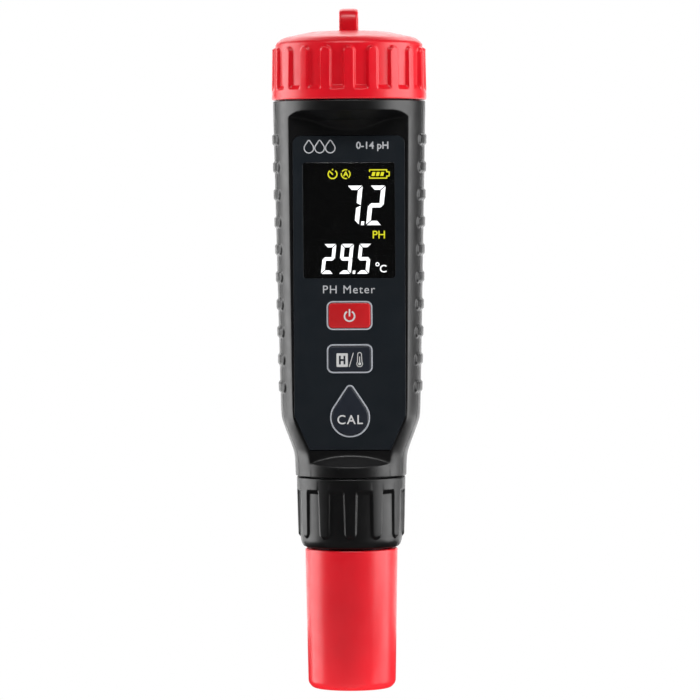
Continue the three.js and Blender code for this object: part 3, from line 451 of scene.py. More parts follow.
front_seam = seam_angle(1)
side_steps = np.linspace(0, 1, 26)[1:]
half_front = np.concatenate([half_face, edge_angle + 0.024 + (front_seam - edge_angle - 0.024) * side_steps], axis=1)
front_angles = np.concatenate([-half_front[:, :0:-1], half_front], axis=1)
front_radii = body_radius(front_angles, row)
seam_round = np.array([0.10, 0.03, 0])
front_radii[:, -3:] -= seam_round[::-1]
front_radii[:, :3] -= seam_round
sunk = np.where(in_recess & (np.abs(front_angles) <= recess_angle + 1e-9), recess_depth, 0.0)
front_shell = shell_piece("front_case", shell_points(front_angles, front_radii, sunk))
finish(front_shell, black_plastic, "housing", "black_plastic", "front_shell")

rear_seam = seam_angle(-1)
rear_steps = np.concatenate([np.linspace(0, 0.22, 40), np.linspace(0.22, 0.5, 24)[1:]])
rear_steps = np.concatenate([rear_steps, (1 - rear_steps)[-2::-1]])
rear_angles = rear_seam + (tau - 2 * rear_seam) * rear_steps
wrapped = np.where(rear_angles > pi, rear_angles - tau, rear_angles)
rear_radii = body_radius(wrapped, row)
rear_shell = shell_piece("rear_case", shell_points(rear_angles, rear_radii, 0.0))
finish(rear_shell, black_plastic, "housing", "black_plastic", "rear_shell")

# ------------------------------------------------------------------ face overlay
# A printed polyester film, stuck into a shallow recess of the face. It has openings for the display and the
# three keys, a light outline round each key, and the printed labels.


def on_face(x, up, depth):
    """Points of the face's own plane: x across, up along the face from its foot, depth inwards from its surface.
    World y = minus the face's distance plus depth times cos(tilt) minus up times sin(tilt), and world z = the
    foot's height plus depth times sin(tilt) plus up times cos(tilt)."""
    x, up, depth = np.broadcast_arrays(*(np.asarray(v, float) for v in (x, up, depth)))
    y = -face_depth + depth * cos(face_tilt) - up * sin(face_tilt)
    height = face_base + depth * sin(face_tilt) + up * cos(face_tilt)
    return np.stack([x, y, height], axis=-1)


def arc(x, up, radius, start, end, steps=12):
    """Points of an arc, counter-clockwise from one angle to another in degrees from +X."""
    angle = np.radians(np.linspace(start, end, steps))
    return np.column_stack([x + radius * np.cos(angle), up + radius * np.sin(angle)])


def rounded_box(width, height, corner, x=0.0, up=0.0, steps=7):
    """Outline of a rectangle with round corners: four quarter circles, counter-clockwise."""
    a, b = width / 2 - corner, height / 2 - corner
    return np.concatenate([
        arc(x + a, up + b, corner, 0, 90, steps), arc(x - a, up + b, corner, 90, 180, steps),
        arc(x - a, up - b, corner, 180, 270, steps), arc(x + a, up - b, corner, 270, 360, steps)])


def drop(tip_up, grow=0.0, steps=40):
    """Outline of a water drop, point up: a large and a small circle and the two lines that touch both."""
    tip = tip_up - drop_tip
    belly = tip_up - drop_length + drop_belly
    lean = np.degrees(asin((drop_belly - drop_tip) / (tip - belly)))
    return np.concatenate([
        arc(0, belly, drop_belly + grow, 180 - lean, 360 + lean, steps),
        arc(0, tip, drop_tip + grow, lean, 180 - lean, steps // 3)])


def inwards(outline, amount):
    """Outline moved to its own left by an amount: each point goes along the mean of the normals of the two
    sides that meet there, divided by the cosine of half their turn, which is kept above one half."""
    ahead = np.roll(outline, -1, 0) - outline
    behind = outline - np.roll(outline, 1, 0)
    ahead /= np.linalg.norm(ahead, axis=1, keepdims=True)
    behind /= np.linalg.norm(behind, axis=1, keepdims=True)
    normal = np.stack([-(ahead + behind)[:, 1], (ahead + behind)[:, 0]], axis=1) / 2
    length = np.linalg.norm(normal, axis=1, keepdims=True)
    return outline + amount * normal / length / np.maximum(length, 0.5)


def facing(outline, inner):
    """The outline without repeated points, counter-clockwise, or clockwise for an inner one, by the sign of its
    area, which is half the sum of x times the next y minus the next x times y."""
    outline = outline[np.linalg.norm(np.roll(outline, -1, 0) - outline, axis=1) > 1e-4]
    x, y = outline.T
    area = np.sum(x * np.roll(y, -1) - np.roll(x, -1) * y)
    return outline if (area > 0) != inner else outline[::-1]


def plates(name, shapes, front, back, bevel=0.0, crease=1):
    """Flat plates on the face, between a front and a back depth. Each shape is an outer outline and its holes.
    Every outline is carried through the layers back, front plus bevel, and front, where it has moved into the
    material by the bevel; both ends are filled with triangles."""
    points, faces, count = [], [], 0
    layers = [(back, 0.0), (front + bevel, 0.0), (front, bevel)] if bevel else [(back, 0.0), (front, 0.0)]
    for shape in shapes:
        outlines = [facing(np.asarray(line, float), i > 0) for i, line in enumerate(shape)]
        total = sum(len(line) for line in outlines)
        for depth, shift in layers:
            flat = np.concatenate([inwards(line, shift) for line in outlines])
            points.append(on_face(flat[:, 0], flat[:, 1], depth))
        start = 0
        for line in outlines:
            index = count + start + np.arange(len(line))
            following = np.roll(index, -1)
            for layer in range(len(layers) - 1):
                a, b = layer * total, (layer + 1) * total
                faces += np.stack([index + a, following + a, following + b, index + b], axis=1).tolist()
            start += len(line)
        fill = tessellate_polygon([[Vector((*p, 0)) for p in line] for line in outlines])
        for layer in (0, len(layers) - 1):
            faces += [[count + layer * total + i for i in triangle] for triangle in fill]
        count += len(layers) * total
    return build(name, np.concatenate(points), faces, crease)


def on_the_outline(up):
    """Outline of the overlay, counter-clockwise: slanted foot, straight sides, round top corners."""
    right = np.array([[overlay_foot_half, 0.1], [overlay_half, overlay_slant]])
    corner = arc(overlay_half - 2, up - 2, 2, 0, 90)
    half = np.concatenate([right, corner])
    return np.concatenate([half, (half * [-1, 1])[::-1]])


window_width, window_height, window_up = 24.1, 30.5, 60.55
key_width, key_height, key_corner = 11.0, 6.6, 1.1
power_up, hold_up, drop_tip_up = 35.55, 24.2, 16.75
drop_length, drop_belly, drop_tip = 12.8, 4.75, 0.7
key_room = 0.12
film_front, film_back = 0.0, 0.35

overlay_film = moulded("printed_overlay_film", (0.0060, 0.0098, 0.0145), 0.42, drift=0.08, grain=9.0, depth=0.0015)
film_holes = [
    rounded_box(window_width, window_height, 0.8, 0, window_up),
    rounded_box(key_width + 2 * key_room, key_height + 2 * key_room, key_corner + key_room, 0, power_up),
    rounded_box(key_width + 2 * key_room, key_height + 2 * key_room, key_corner + key_room, 0, hold_up),
    drop(drop_tip_up, key_room)]
overlay = plates("face_overlay_film", [[on_the_outline(overlay_top)] + film_holes], film_front, film_back, 0.06)
finish(overlay, overlay_film, "housing", "overlay_film", "front_overlay")


def printed(name, colour, roughness=0.5):
    """Screen-printed ink: an even coat whose brightness and gloss drift a little."""
    ink, tree, surface = shader(name, colour, roughness)
    tree.links.new(tint(tree, noise(tree, 2.5), colour, 0.06), surface.inputs["Base Color"])
    tree.links.new(spread(tree, noise(tree, 5.0), roughness - 0.05, roughness + 0.05), surface.inputs["Roughness"])
    return ink


silver_ink = printed("silver_ink", (0.42, 0.44, 0.48), 0.35)
label_ink = printed("label_ink", (0.50, 0.51, 0.53))
outline_width = 0.40
ink_front, ink_back = -0.02, 0.04


def band(outline, width):
    """Flat ring as a shape: the outline as its inner edge, and the same moved outwards by the width."""
    line = facing(np.asarray(outline, float), False)
    return [inwards(line, -width), line]


key_outlines = plates("printed_key_outlines", [band(hole, outline_width) for hole in film_holes[1:]],
                      ink_front - 0.03, ink_back, 0.04)
finish(key_outlines, silver_ink, "housing", "overlay_film")


def lettering(name, text, size, x, up, front, back, bold=0.0, spacing=1.0):
    """Flat lettering on the face, centred on a point: the built-in font's outlines, filled and given a thickness
    as a mesh, and then mapped point by point onto the face."""
    curve = bpy.data.curves.new(name, "FONT")
    curve.body = text
    curve.size = size
    curve.align_x = "CENTER"
    curve.align_y = "CENTER"
    curve.offset = bold
    curve.space_character = spacing
    curve.extrude = (back - front) / 2
    curve.resolution_u = 4
    writer = bpy.data.objects.new(name + "_curve", curve)
    bpy.context.scene.collection.objects.link(writer)
    flat = writer.evaluated_get(bpy.context.evaluated_depsgraph_get()).to_mesh()
    place = np.empty(len(flat.vertices) * 3)
    flat.vertices.foreach_get("co", place)
    place = place.reshape(-1, 3)
    faces = [list(polygon.vertices) for polygon in flat.polygons]
    bpy.data.objects.remove(writer)
    middle = (place.min(axis=0) + place.max(axis=0)) / 2
    points = on_face(x + place[:, 0] - middle[0], up + place[:, 1] - middle[1], (front + back) / 2 - place[:, 2])
    return build(name, points, faces)


title = lettering("label_ph_meter", "PH Meter", 3.05, -0.1, 42.4, ink_front, ink_back, 0.0, 1.16)
finish(title, label_ink, "housing", "overlay_film")
scale_label = lettering("label_ph_range", "0-14 pH", 2.6, 6.2, 79.9, ink_front, ink_back, 0.05)
finish(scale_label, label_ink, "housing", "overlay_film")


def small_drop(x, up, size, width):
    """Outline drawing of a water drop as a ring of a given line width: the key's drop scaled down."""
    outline = drop(drop_length / 2) * size / drop_length + [x, up]
    return band(outline, width)


drop_marks = plates("printed_drop_marks", [
    small_drop(-10.4, 79.9, 3.0, 0.28), small_drop(-7.6, 79.9, 3.0, 0.28), small_drop(-4.8, 79.9, 3.0, 0.28)],
    ink_front, ink_back)
finish(drop_marks, label_ink, "housing", "overlay_film")

# ------------------------------------------------------------------ display
# A clear acrylic lens closes the window. Under it lies the liquid-crystal glass, black where it is off, with
# bright white digits and yellow symbols lit from behind.

lens_front, lens_back = 0.02, 0.45
lens_plastic, lens_tree, lens_surface = shader("clear_display_lens", (0.96, 0.97, 0.98), 0.04)
lens_surface.inputs["Transmission Weight"].default_value = 1
lens_surface.inputs["IOR"].default_value = 1.49
lens_tree.links.new(spread(lens_tree, noise(lens_tree, 0.25), 0.02, 0.05), lens_surface.inputs["Roughness"])
lens = plates("display_lens_clear", [[rounded_box(window_width - 0.2, window_height - 0.2, 0.7, 0, window_up)]],
              lens_front, lens_back, 0.08)
finish(lens, lens_plastic, "housing", "display_window", "display_lens")

panel_glass = moulded("black_display_glass", (0.0012, 0.0012, 0.0014), 0.12, drift=0.2, grain=0.8, depth=0.0004)
panel = plates("display_panel_black", [[rounded_box(window_width - 0.3, window_height - 0.3, 0.7, 0, window_up)]],
               0.62, 0.85)
finish(panel, panel_glass, "housing", "display_window")


def lit(name, colour, strength):
    """Lit segments: an emitting surface whose brightness varies a little with the diffuser behind it."""
    light, tree, surface = shader(name, (0.02, 0.02, 0.02), 0.3)
    surface.inputs["Emission Strength"].default_value = strength
    tree.links.new(tint(tree, noise(tree, 0.5), colour, 0.04), surface.inputs["Emission Color"])
    return light


digit_lean = 0.1086


def leaning(outline, x, up):
    """Outline drawn upright from its lower left corner, leant to the right and moved to its place."""
    outline = np.asarray(outline, float)
    return outline @ np.array([[1, 0], [digit_lean, 1]]) + [x, up]


def seven_segments(digit, x, up, width, height, thick, space):
    """Shapes of a seven-segment digit. The bars meet at 45 degrees with a thin space between them; the middle bar
    is a hexagon. The left and lower bars mirror the right and upper ones."""
    mid, half = height / 2, thick / 2
    top = [(space, height), (width - space, height), (width - space - thick, height - thick),
           (space + thick, height - thick)]
    right = [(width, height - space), (width, mid + space / 2), (width - thick, mid + half + space / 2),
             (width - thick, height - thick - space)]
    middle = [(space, mid), (space + half, mid + half), (width - space - half, mid + half), (width - space, mid),
              (width - space - half, mid - half), (space + half, mid - half)]

    def flip(bar, across, down):
        bar = np.asarray(bar, float)
        if across:
            bar = bar * [-1, 1] + [width, 0]
        return bar * [1, -1] + [0, height] if down else bar

    bars = {"top": top, "upper_right": right, "lower_right": flip(right, False, True), "middle": middle,
            "bottom": flip(top, False, True), "lower_left": flip(right, True, True),
            "upper_left": flip(right, True, False)}
    lit_bars = {
        2: ("top", "upper_right", "middle", "lower_left", "bottom"),
        5: ("top", "upper_left", "middle", "lower_right", "bottom"),
        7: ("top", "upper_right", "lower_right"),
        9: ("top", "upper_left", "upper_right", "middle", "lower_right", "bottom")}
    return [[leaning(bars[bar], x, up)] for bar in lit_bars[digit]]


def point(x, up, width, height):
    """Decimal point as a shape."""
    return [leaning([(0, 0), (width, 0), (width, height), (0, height)], x, up)]


large = dict(width=4.08, height=10.37, thick=1.12, space=0.2)
small = dict(width=3.25, height=7.85, thick=0.9, space=0.17)
large_up, small_up = window_up - 1.30, window_up - 14.05
digit_front, digit_back = 0.58, 0.64
white_shapes = (
    seven_segments(7, -1.56, large_up, **large) + [point(3.12, large_up, 0.78, 1.0)]
    + seven_segments(2, 4.46, large_up, **large)
    + seven_segments(2, -7.45, small_up, **small) + seven_segments(9, -2.87, small_up, **small)
    + [point(0.85, small_up, 0.66, 0.85)] + seven_segments(5, 1.84, small_up, **small))
white_light = lit("lit_white_segment", (1.0, 1.0, 1.0), 1.6)
white_digits = plates("display_digits", white_shapes, digit_front, digit_back)
finish(white_digits, white_light, "housing", "display_window")


def stroke(points, width):
    """Open line drawn with a width: its points moved to the left, and to the right in reverse order. Ends are
    square; each inner point moves along the normal of the line through its two neighbours."""
    points = np.asarray(points, float)
    along = np.gradient(points, axis=0)
    along /= np.linalg.norm(along, axis=1, keepdims=True)
    side = np.stack([-along[:, 1], along[:, 0]], axis=1) * width / 2
    return np.concatenate([points + side, (points - side)[::-1]])


symbol_up = window_up + 12.1
symbol_radius, symbol_line = 1.15, 0.32
timer_x, hold_x, cell_x = -4.25, -0.8, 7.85
yellow_shapes = [
    [stroke(arc(timer_x, symbol_up, symbol_radius, 128, 412, 30), symbol_line)],
    [stroke([(timer_x - 0.85, symbol_up + 0.85), (timer_x + 0.1, symbol_up - 0.1)], 0.32)],
    [stroke([(timer_x, symbol_up + 1.0), (timer_x, symbol_up + 1.38)], 0.3)],
    [stroke(arc(hold_x, symbol_up, symbol_radius, 165, 285, 18), 0.28)],
    [stroke(arc(hold_x, symbol_up, symbol_radius, 305, 410, 18), 0.28)],
    [stroke(arc(hold_x, symbol_up, symbol_radius, 70, 145, 12), 0.28)],
    [stroke([(hold_x - 0.55, symbol_up - 0.6), (hold_x, symbol_up + 0.65)], 0.3)],
    [stroke([(hold_x + 0.55, symbol_up - 0.6), (hold_x, symbol_up + 0.65)], 0.3)],
    [stroke([(hold_x - 0.35, symbol_up - 0.15), (hold_x + 0.35, symbol_up - 0.15)], 0.24)],
    [stroke([(cell_x - 2.4, symbol_up + 0.55), (cell_x - 2.4, symbol_up + 1.08)], 0.3)],
    [stroke([(cell_x - 2.4, symbol_up - 0.55), (cell_x - 2.4, symbol_up - 1.08)], 0.3)],
    [stroke([(cell_x - 2.5, symbol_up + 1.08), (cell_x + 2.15, symbol_up + 1.08)], 0.3)],
    [stroke([(cell_x - 2.5, symbol_up - 1.08), (cell_x + 2.15, symbol_up - 1.08)], 0.3)],
    [stroke([(cell_x + 2.1, symbol_up + 1.22), (cell_x + 2.1, symbol_up + 0.5)], 0.3)],
    [stroke([(cell_x + 2.1, symbol_up - 0.5), (cell_x + 2.1, symbol_up - 1.22)], 0.3)],
    [stroke([(cell_x + 2.0, symbol_up + 0.55), (cell_x + 2.8, symbol_up + 0.55)], 0.28)],
    [stroke([(cell_x + 2.0, symbol_up - 0.55), (cell_x + 2.8, symbol_up - 0.55)], 0.28)],
    [stroke([(cell_x + 2.75, symbol_up + 0.6), (cell_x + 2.75, symbol_up - 0.6)], 0.28)]]
for i in range(3):
    bar_x = cell_x - 1.85 + i * 1.15
    yellow_shapes.append([[(bar_x - 0.05, symbol_up - 0.52), (bar_x + 0.75, symbol_up - 0.52),
                           (bar_x + 1.0, symbol_up + 0.52), (bar_x + 0.2, symbol_up + 0.52)]])
yellow_light = lit("lit_yellow_symbol", (0.86, 0.83, 0.02), 1.0)
yellow_symbols = plates("display_symbols", yellow_shapes, digit_front, digit_back)
finish(yellow_symbols, yellow_light, "housing", "display_window")
unit_ph = lettering("display_unit_ph", "PH", 2.9, 7.8, window_up - 3.8, digit_front, digit_back, 0.02)
finish(unit_ph, yellow_light, "housing", "display_window")
unit_degree = plates("display_degree", [band(arc(7.4, window_up - 11.6, 0.3, 0, 350, 18), 0.24)], digit_front,
                     digit_back)
finish(unit_degree, white_light, "housing", "display_window")
unit_c = lettering("display_unit_c", "C", 2.75, 8.9, window_up - 12.75, digit_front, digit_back, 0.02)
finish(unit_c, white_light, "housing", "display_window")

# ------------------------------------------------------------------ keys
# Three hard plastic keys stand just proud of the film: a red power key, a dark key that holds the reading or
# changes the temperature unit, and a drop-shaped calibration key. Each has a soft edge and a crowned top.

key_rise, key_foot = 0.3, 0.36


def key_cap(name, outline_at, middle_up):
    """Key: its outline is carried forward from the foot, drawn in along a quarter circle at the edge, and then
    shrunk towards the middle while the surface rises by 0.12 mm times one minus the square of the scale."""
    edge = np.linspace(0, 1, 6) * pi / 2
    round_edge = 0.32
    layers = [(outline_at(0.0), key_foot)]
    for angle in edge:
        layers.append((outline_at(-round_edge * (1 - cos(angle))), -key_rise + round_edge * (1 - sin(angle))))
    rim = layers[-1][0]
    for scale in (0.95, 0.88, 0.78, 0.62, 0.42, 0.2, 0.0):
        shrunk = (rim - [0, middle_up]) * scale + [0, middle_up]
        layers.append((shrunk, -key_rise - 0.12 * (1 - scale ** 2)))
    bottom = (layers[0][0] - [0, middle_up]) * 0 + [0, middle_up]
    layers.insert(0, (bottom, key_foot))
    points = np.concatenate([on_face(line[:, 0], line[:, 1], depth) for line, depth in layers])
    return build(name, points, grid_faces(len(layers), len(rim), wrap_columns=True), 60)


def rounded_key(up):
    """Outline of a rounded rectangular key, grown by an amount."""
    return lambda grow: rounded_box(key_width + 2 * grow, key_height + 2 * grow, key_corner + grow, 0, up, 10)


def key_plastic(name, colour):
    """Satin key plastic: the colour lightens slowly across the key, under a fine grain."""
    material, tree, surface = shader(name, colour, 0.36)
    cloud = tint(tree, noise(tree, 0.12), colour, 0.1)
    tree.links.new(cloud, surface.inputs["Base Color"])
    tree.links.new(spread(tree, noise(tree, 1.5), 0.32, 0.42), surface.inputs["Roughness"])
    bump(tree, surface, noise(tree, 7.0), 0.0015)
    surface.inputs["Coat Weight"].default_value = 0.25
    surface.inputs["Coat Roughness"].default_value = 0.2
    return material


red_key = key_plastic("red_key_plastic", (0.56, 0.004, 0.008))
navy_key = key_plastic("navy_key_plastic", (0.014, 0.018, 0.028))
key_ink = printed("key_ink", (0.60, 0.60, 0.60))
power_key = key_cap("power_key_cap", rounded_key(power_up), power_up)
finish(power_key, red_key, "power_key", "key_red", "power_key")
hold_key = key_cap("hold_key_cap", rounded_key(hold_up), hold_up)
finish(hold_key, navy_key, "hold_key", "key_navy", "hold_key")
drop_middle = drop_tip_up - 7.2
cal_key = key_cap("calibration_key_cap", lambda grow: drop(drop_tip_up, grow), drop_middle)
finish(cal_key, navy_key, "cal_key", "key_navy", "cal_key")

mark_front, mark_back = -key_rise - 0.14, -key_rise - 0.02
power_marks = plates("power_key_symbol", [
    [stroke(arc(0, power_up - 0.15, 1.32, 118, 422, 34), 0.42)],
    [stroke([(0, power_up - 0.2), (0, power_up + 1.75)], 0.42)]], mark_front, mark_back)
finish(power_marks, key_ink, "power_key", "key_red")

symbol_middle = hold_up - 0.35
letter_box = rounded_box(3.0, 3.6, 0.25, -2.0, symbol_middle)
letter_h = [(-2.85, -1.0), (-2.35, -1.0), (-2.35, -0.22), (-1.65, -0.22), (-1.65, -1.0), (-1.15, -1.0),
            (-1.15, 1.0), (-1.65, 1.0), (-1.65, 0.25), (-2.35, 0.25), (-2.35, 1.0), (-2.85, 1.0)]
bulb_x, bulb_up = 2.6, symbol_middle - 1.0
thermometer = np.concatenate([arc(bulb_x, bulb_up, 0.66, 140, 400, 24), arc(bulb_x, bulb_up + 2.5, 0.38, 0, 180)])
hold_marks = plates("hold_key_symbol", [
    [letter_box, np.array(letter_h) * [1, 1.15] + [0, symbol_middle]],
    [stroke([(-0.15, symbol_middle - 1.8), (0.95, symbol_middle + 1.9)], 0.2)],
    band(thermometer, 0.2),
    [arc(bulb_x, bulb_up, 0.4, 0, 350, 18)],
    [stroke([(bulb_x, bulb_up), (bulb_x, bulb_up + 1.9)], 0.24)]], mark_front, mark_back)
finish(hold_marks, key_ink, "hold_key", "key_navy")
cal_marks = lettering("cal_key_label", "CAL", 3.4, 0, drop_tip_up - 8.6, mark_front, mark_back, 0.03, 1.15)
finish(cal_marks, key_ink, "cal_key", "key_navy")

# ------------------------------------------------------------------ battery cap
# The red screw cap over the cells. Satin polypropylene like the storage cap, with a plain band below, twenty
# finger ribs whose upper ends are round, a bevel, a low dome and a moulded arch for a lanyard.

lid_low = base_of("battery_cap")
lid_radius, lid_valley = 20.45, 19.45
skirt_top = lid_low + 14.4
bevel_top = skirt_top + 2.0
dome_top = bevel_top + 2.1
lid_bore, lid_roof = 18.05, lid_low + 11.7
lid_sides = 20 * 24
lid_angle = np.linspace(0, tau, lid_sides, endpoint=False)[None, :]
lid_rows = np.concatenate([lid_low + np.array([0.0, 0.08, 0.2, 0.4]), np.linspace(lid_low + 0.6, skirt_top, 100)])
z = lid_rows[:, None]
lid_rib_face = np.interp(z, [lid_low + 2.5, skirt_top], [lid_radius, lid_radius - 0.2])
lid_valley_face = np.interp(z, [lid_low + 2.4, lid_low + 3.6], [lid_radius, lid_valley])
lid_rib_end = skirt_top - 0.7 - 1.45
beside = from_rib(lid_angle, 20, lid_rib_face, radians(1))
from_edge = np.hypot(beside, np.maximum(z - lid_rib_end, 0)) - 1.45
on_rib = 1 - smooth_step(from_edge, -0.35, 0.3)
lid_face = lid_valley_face + (lid_rib_face - lid_valley_face) * on_rib
lid_face -= 0.25 * (1 - np.sqrt(1 - np.clip(1 - (z - lid_low) / 0.4, 0, 1) ** 2))
crown = rounded([(lid_valley, skirt_top + 0.1), (lid_valley - 0.35, skirt_top + 0.75), (17.55, bevel_top),
                 (10.2, bevel_top + 1.55), (0, dome_top)], 1.2)
lid_grid = np.concatenate([
    turned(lid_face, lid_rows, lid_sides),
    turned(crown[:, 0], crown[:, 1], lid_sides),
    turned([0, lid_bore - 0.6, lid_bore, lid_bore, lid_bore + 0.3, lid_bore + 0.3, lid_radius - 0.3],
           [lid_roof, lid_roof, lid_roof - 0.6, lid_low + 1.7, lid_low + 1.4, lid_low, lid_low], lid_sides)])
lid = build("battery_screw_cap", lid_grid, grid_faces(len(lid_grid), lid_sides, True, True), 50)
finish(lid, red_plastic, "battery_cap", "red_plastic", "battery_cap")
lid_thread = thread("battery_cap_thread", lid_bore + 0.1, lid_bore - 0.8, 1.4, 0.8, 4, 1.25, lid_low + 7.1)
finish(lid_thread, red_plastic, "battery_cap", "red_plastic")

eye_reach, eye_rise, eye_wire, eye_width = 5.6, 5.6, 1.9, 4.95


def arch_points(steps=40, sides=24):
    """Points of the lanyard arch: a rounded rectangular section is carried along a path in the YZ plane that
    leaves the dome upright, turns over in a superellipse and comes down again. With u from 0 to pi, y = reach
    times the signed 0.5 power of cos u, z = rise times the 0.5 power of sin u, and the section lies across the
    path, wide along X."""
    u = np.linspace(0, pi, steps)
    reach, rise = eye_reach - eye_wire / 2, eye_rise - eye_wire / 2
    y = reach * np.sign(np.cos(u)) * np.abs(np.cos(u)) ** 0.55
    height = rise * np.sin(u) ** 0.55
    y = np.concatenate([[reach], y, [-reach]])
    height = np.concatenate([[-1.6], height, [-1.6]])
    along = np.gradient(np.stack([y, height], axis=1), axis=0)
    along /= np.linalg.norm(along, axis=1, keepdims=True)
    v = np.linspace(0, tau, sides, endpoint=False)
    across = eye_width / 2 * np.sign(np.cos(v)) * np.abs(np.cos(v)) ** 0.4
    outwards = eye_wire / 2 * np.sign(np.sin(v)) * np.abs(np.sin(v)) ** 0.5
    path = np.stack([y, height], axis=1)[:, None, :]
    normal = np.stack([along[:, 1], -along[:, 0]], axis=1)[:, None, :]
    flat = path + normal * outwards[None, :, None]
    x = np.broadcast_to(across[None, :], flat.shape[:2])
    return np.stack([x, flat[..., 0], dome_top + flat[..., 1]], axis=-1)


arch = arch_points()
rows, sides = arch.shape[:2]
arch_faces = grid_faces(rows, sides, wrap_columns=True)
arch_faces += [list(range(sides)), list(range(rows * sides - 1, (rows - 1) * sides - 1, -1))]
eye = build("lanyard_arch", arch, arch_faces, 60)
finish(eye, red_plastic, "battery_cap", "red_plastic")

# ------------------------------------------------------------------ inside pieces and the electrode
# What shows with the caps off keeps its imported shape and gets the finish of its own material: the battery
# tube and port in grey nylon, the electrode's head, clear guard and glass bulb, seals, cells and contacts.


def polished(name, colour, roughness, per_mm=3.0):
    """Plated or drawn metal: fine lines along the axis vary the roughness, and the colour drifts a little."""
    metal, tree, surface = shader(name, colour, roughness, 1.0)
    lines = noise(tree, per_mm, 2.0, (1, 1, 0.05))
    tree.links.new(spread(tree, lines, roughness - 0.08, roughness + 0.1), surface.inputs["Roughness"])
    tree.links.new(tint(tree, noise(tree, 0.4), colour, 0.05), surface.inputs["Base Color"])
    bump(tree, surface, lines, 0.001)
    return metal


grey_plastic = moulded("grey_nylon", (0.11, 0.115, 0.125), 0.55)
rubber = moulded("black_rubber", (0.009, 0.009, 0.0095), 0.72, drift=0.15, grain=3.0, depth=0.004)
clear_plastic, clear_tree, clear_surface = shader("clear_guard_plastic", (0.9, 0.93, 0.95), 0.12)
clear_surface.inputs["Transmission Weight"].default_value = 0.92
clear_surface.inputs["IOR"].default_value = 1.49
clear_tree.links.new(spread(clear_tree, noise(clear_tree, 0.4), 0.08, 0.18), clear_surface.inputs["Roughness"])
bulb_glass, bulb_tree, bulb_surface = shader("thin_bulb_glass", (0.93, 0.97, 0.97), 0.03)
bulb_surface.inputs["Transmission Weight"].default_value = 1
bulb_surface.inputs["IOR"].default_value = 1.5
bulb_tree.links.new(spread(bulb_tree, noise(bulb_tree, 0.6), 0.01, 0.05), bulb_surface.inputs["Roughness"])
steel = polished("brushed_steel", (0.62, 0.63, 0.65), 0.3)
gold = polished("gold_plate", (0.83, 0.61, 0.25), 0.25)
silver = polished("silver_wire", (0.85, 0.85, 0.84), 0.25)
wrap = moulded("printed_cell_wrap", (0.03, 0.12, 0.2), 0.35, drift=0.1, grain=0.6, depth=0.01)
ceramic = moulded("porous_ceramic", (0.75, 0.72, 0.66), 0.8, drift=0.08, grain=3.0, depth=0.03)
board_green = moulded("green_circuit_board", (0.01, 0.11, 0.04), 0.4, drift=0.2, grain=1.2, depth=0.01)
chip_black = moulded("black_chip_epoxy", (0.012, 0.012, 0.013), 0.5, drift=0.1, grain=6.0, depth=0.004)
backlight_white = moulded("white_diffuser", (0.75, 0.76, 0.76), 0.5, drift=0.04)

finish_of = {
    "grey_plastic": grey_plastic, "rubber": rubber, "clear_plastic": clear_plastic, "glass": bulb_glass,
    "steel": steel, "gold_contact": gold, "silver": silver, "cell_wrap": wrap, "ceramic": ceramic,
    "circuit_board": board_green, "chip": chip_black, "black_plastic": black_plastic, "red_plastic": red_plastic,
    "overlay_film": overlay_film, "display_window": panel_glass, "key_red": red_key, "key_navy": navy_key,
    "sponge": foam}
for part in frame["record"]["subparts"]:
    node = frame["nodes"][part["node"]]
    material = backlight_white if part["node"] == "lcd_backlight" else finish_of[part["material_slot"]]
    node.data.materials.clear()
    node.data.materials.append(material)

# ------------------------------------------------------------------ studio
# A pale sweep stands behind the pen. It is bright, so the satin plastic mirrors it along both sides, while soft
# boxes beside and above the pen light the colours and leave the dark face dark. The camera sees only white air.


def sweep_points(width, front, back, height, curve, columns=48):
    """Points of the floor and backdrop as one sheet: each row runs along X, and the profile goes back along the
    floor, up round a quarter circle, and up the wall."""
    turn = np.linspace(0, pi / 2, 16)
    y = np.concatenate([[-front], back - curve + curve * np.sin(turn), [back]])
    z = np.concatenate([[0], curve - curve * np.cos(turn), [height]])
    x = np.linspace(-width / 2, width / 2, columns)
    grid = np.stack([np.broadcast_to(x, (len(y), columns)), np.broadcast_to(y[:, None], (len(y), columns)),
                     np.broadcast_to(z[:, None], (len(y), columns))], axis=-1)
    return grid


def stage_piece(name, points, faces, material):
    """Open sheet of the studio, which isn't part of the object and which the camera doesn't see."""
    mesh = bpy.data.meshes.new(name)
    mesh.from_pydata((points.reshape(-1, 3) * mm).tolist(), [], faces)
    mesh.shade_smooth()
    piece = bpy.data.objects.new(name, mesh)
    bpy.context.scene.collection.objects.link(piece)
    piece.data.materials.append(material)
    piece.visible_camera = False
    return piece


paper, paper_tree, paper_surface = shader("pale_studio_paper", (0.93, 0.93, 0.93), 0.95)
paper_tree.links.new(tint(paper_tree, noise(paper_tree, 0.02), (0.93, 0.93, 0.93), 0.01),
                     paper_surface.inputs["Base Color"])
paper_surface.inputs["Emission Color"].default_value = (1, 1, 1, 1)
paper_surface.inputs["Emission Strength"].default_value = 0.85
sweep = sweep_points(950, -120, 900, 1600, 350)
stage_piece("studio_backdrop", sweep, grid_faces(*sweep.shape[:2]), paper)
table = sweep_points(1100, 420, 121, 0.0, 0.0)[:3]
floor = stage_piece("studio_floor", table, grid_faces(*table.shape[:2]), paper)
floor.visible_glossy = False
grey_card, card_tree, card_surface = shader("grey_card", (0.05, 0.05, 0.05), 0.9)
card_tree.links.new(tint(card_tree, noise(card_tree, 0.02), (0.05, 0.05, 0.05), 0.02), card_surface.inputs["Base Color"])
card_surface.inputs["Emission Color"].default_value = (1, 1, 1, 1)
card_surface.inputs["Emission Strength"].default_value = 0.05
card = sweep_points(500, 220, -19, 0.0, 0.0)[:3] + [0, 0, 0.5]
card = stage_piece("reflecting_card", card, grid_faces(*card.shape[:2]), grey_card)
card.visible_diffuse = False

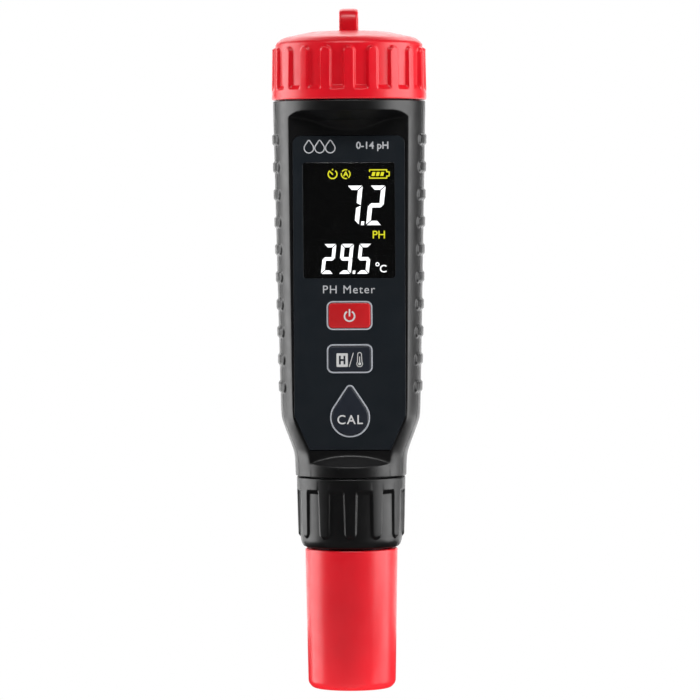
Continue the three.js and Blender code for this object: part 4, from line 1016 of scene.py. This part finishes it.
world = bpy.data.worlds.new("studio_air")
bpy.context.scene.world = world
world.use_nodes = True
air = world.node_tree
paths = air.nodes.new("ShaderNodeLightPath")
choice = air.nodes.new("ShaderNodeMapRange")
choice.inputs["To Min"].default_value = 0.03
choice.inputs["To Max"].default_value = 1.0
air.links.new(paths.outputs["Is Camera Ray"], choice.inputs["Value"])
air.links.new(choice.outputs["Result"], air.nodes["Background"].inputs["Strength"])
air.nodes["Background"].inputs["Color"].default_value = (1, 1, 1, 1)


def soft_box(name, around, up, away, width, height, watts, aim_up=90):
    """Rectangular area light at an angle round the pen (degrees from the front towards +X), a height and a
    distance in millimetres, turned to a point on the pen's axis."""
    lamp = bpy.data.lights.new(name, "AREA")
    lamp.shape = "RECTANGLE"
    lamp.size, lamp.size_y = width * mm, height * mm
    lamp.energy = watts
    light = bpy.data.objects.new(name, lamp)
    bpy.context.scene.collection.objects.link(light)
    place = Vector((away * sin(radians(around)), -away * cos(radians(around)), up)) * mm
    light.location = place
    light.rotation_euler = (Vector((0, 0, aim_up * mm)) - place).to_track_quat("-Z", "Y").to_euler()
    return light


soft_box("left_soft_box", -104, 200, 900, 800, 1000, 11)
soft_box("right_soft_box", 84, 200, 900, 900, 1000, 12.5)
soft_box("front_soft_box", 0, 820, 560, 700, 160, 4.2)
soft_box("back_soft_box", 180, 700, 500, 900, 400, 2.2, 170)

eye_height, eye_distance, eye_turn, eye_roll = 131.8, 1120, radians(1.0), radians(0.30)
aim = Vector((-0.12, 0, 89.65)) * mm
viewer = bpy.data.cameras.new("camera")
viewer.sensor_width = 36
viewer.lens = 217.2
camera = bpy.data.objects.new("camera", viewer)
bpy.context.scene.collection.objects.link(camera)
camera.location = Vector((eye_distance * sin(eye_turn) - 0.12, -eye_distance * cos(eye_turn), eye_height)) * mm
look = (aim - camera.location).to_track_quat("-Z", "Y").to_matrix().to_4x4()
camera.rotation_euler = (look @ Matrix.Rotation(-eye_roll, 4, "Z")).to_euler()
bpy.context.scene.camera = camera
bpy.context.scene.view_settings.view_transform = "Standard"
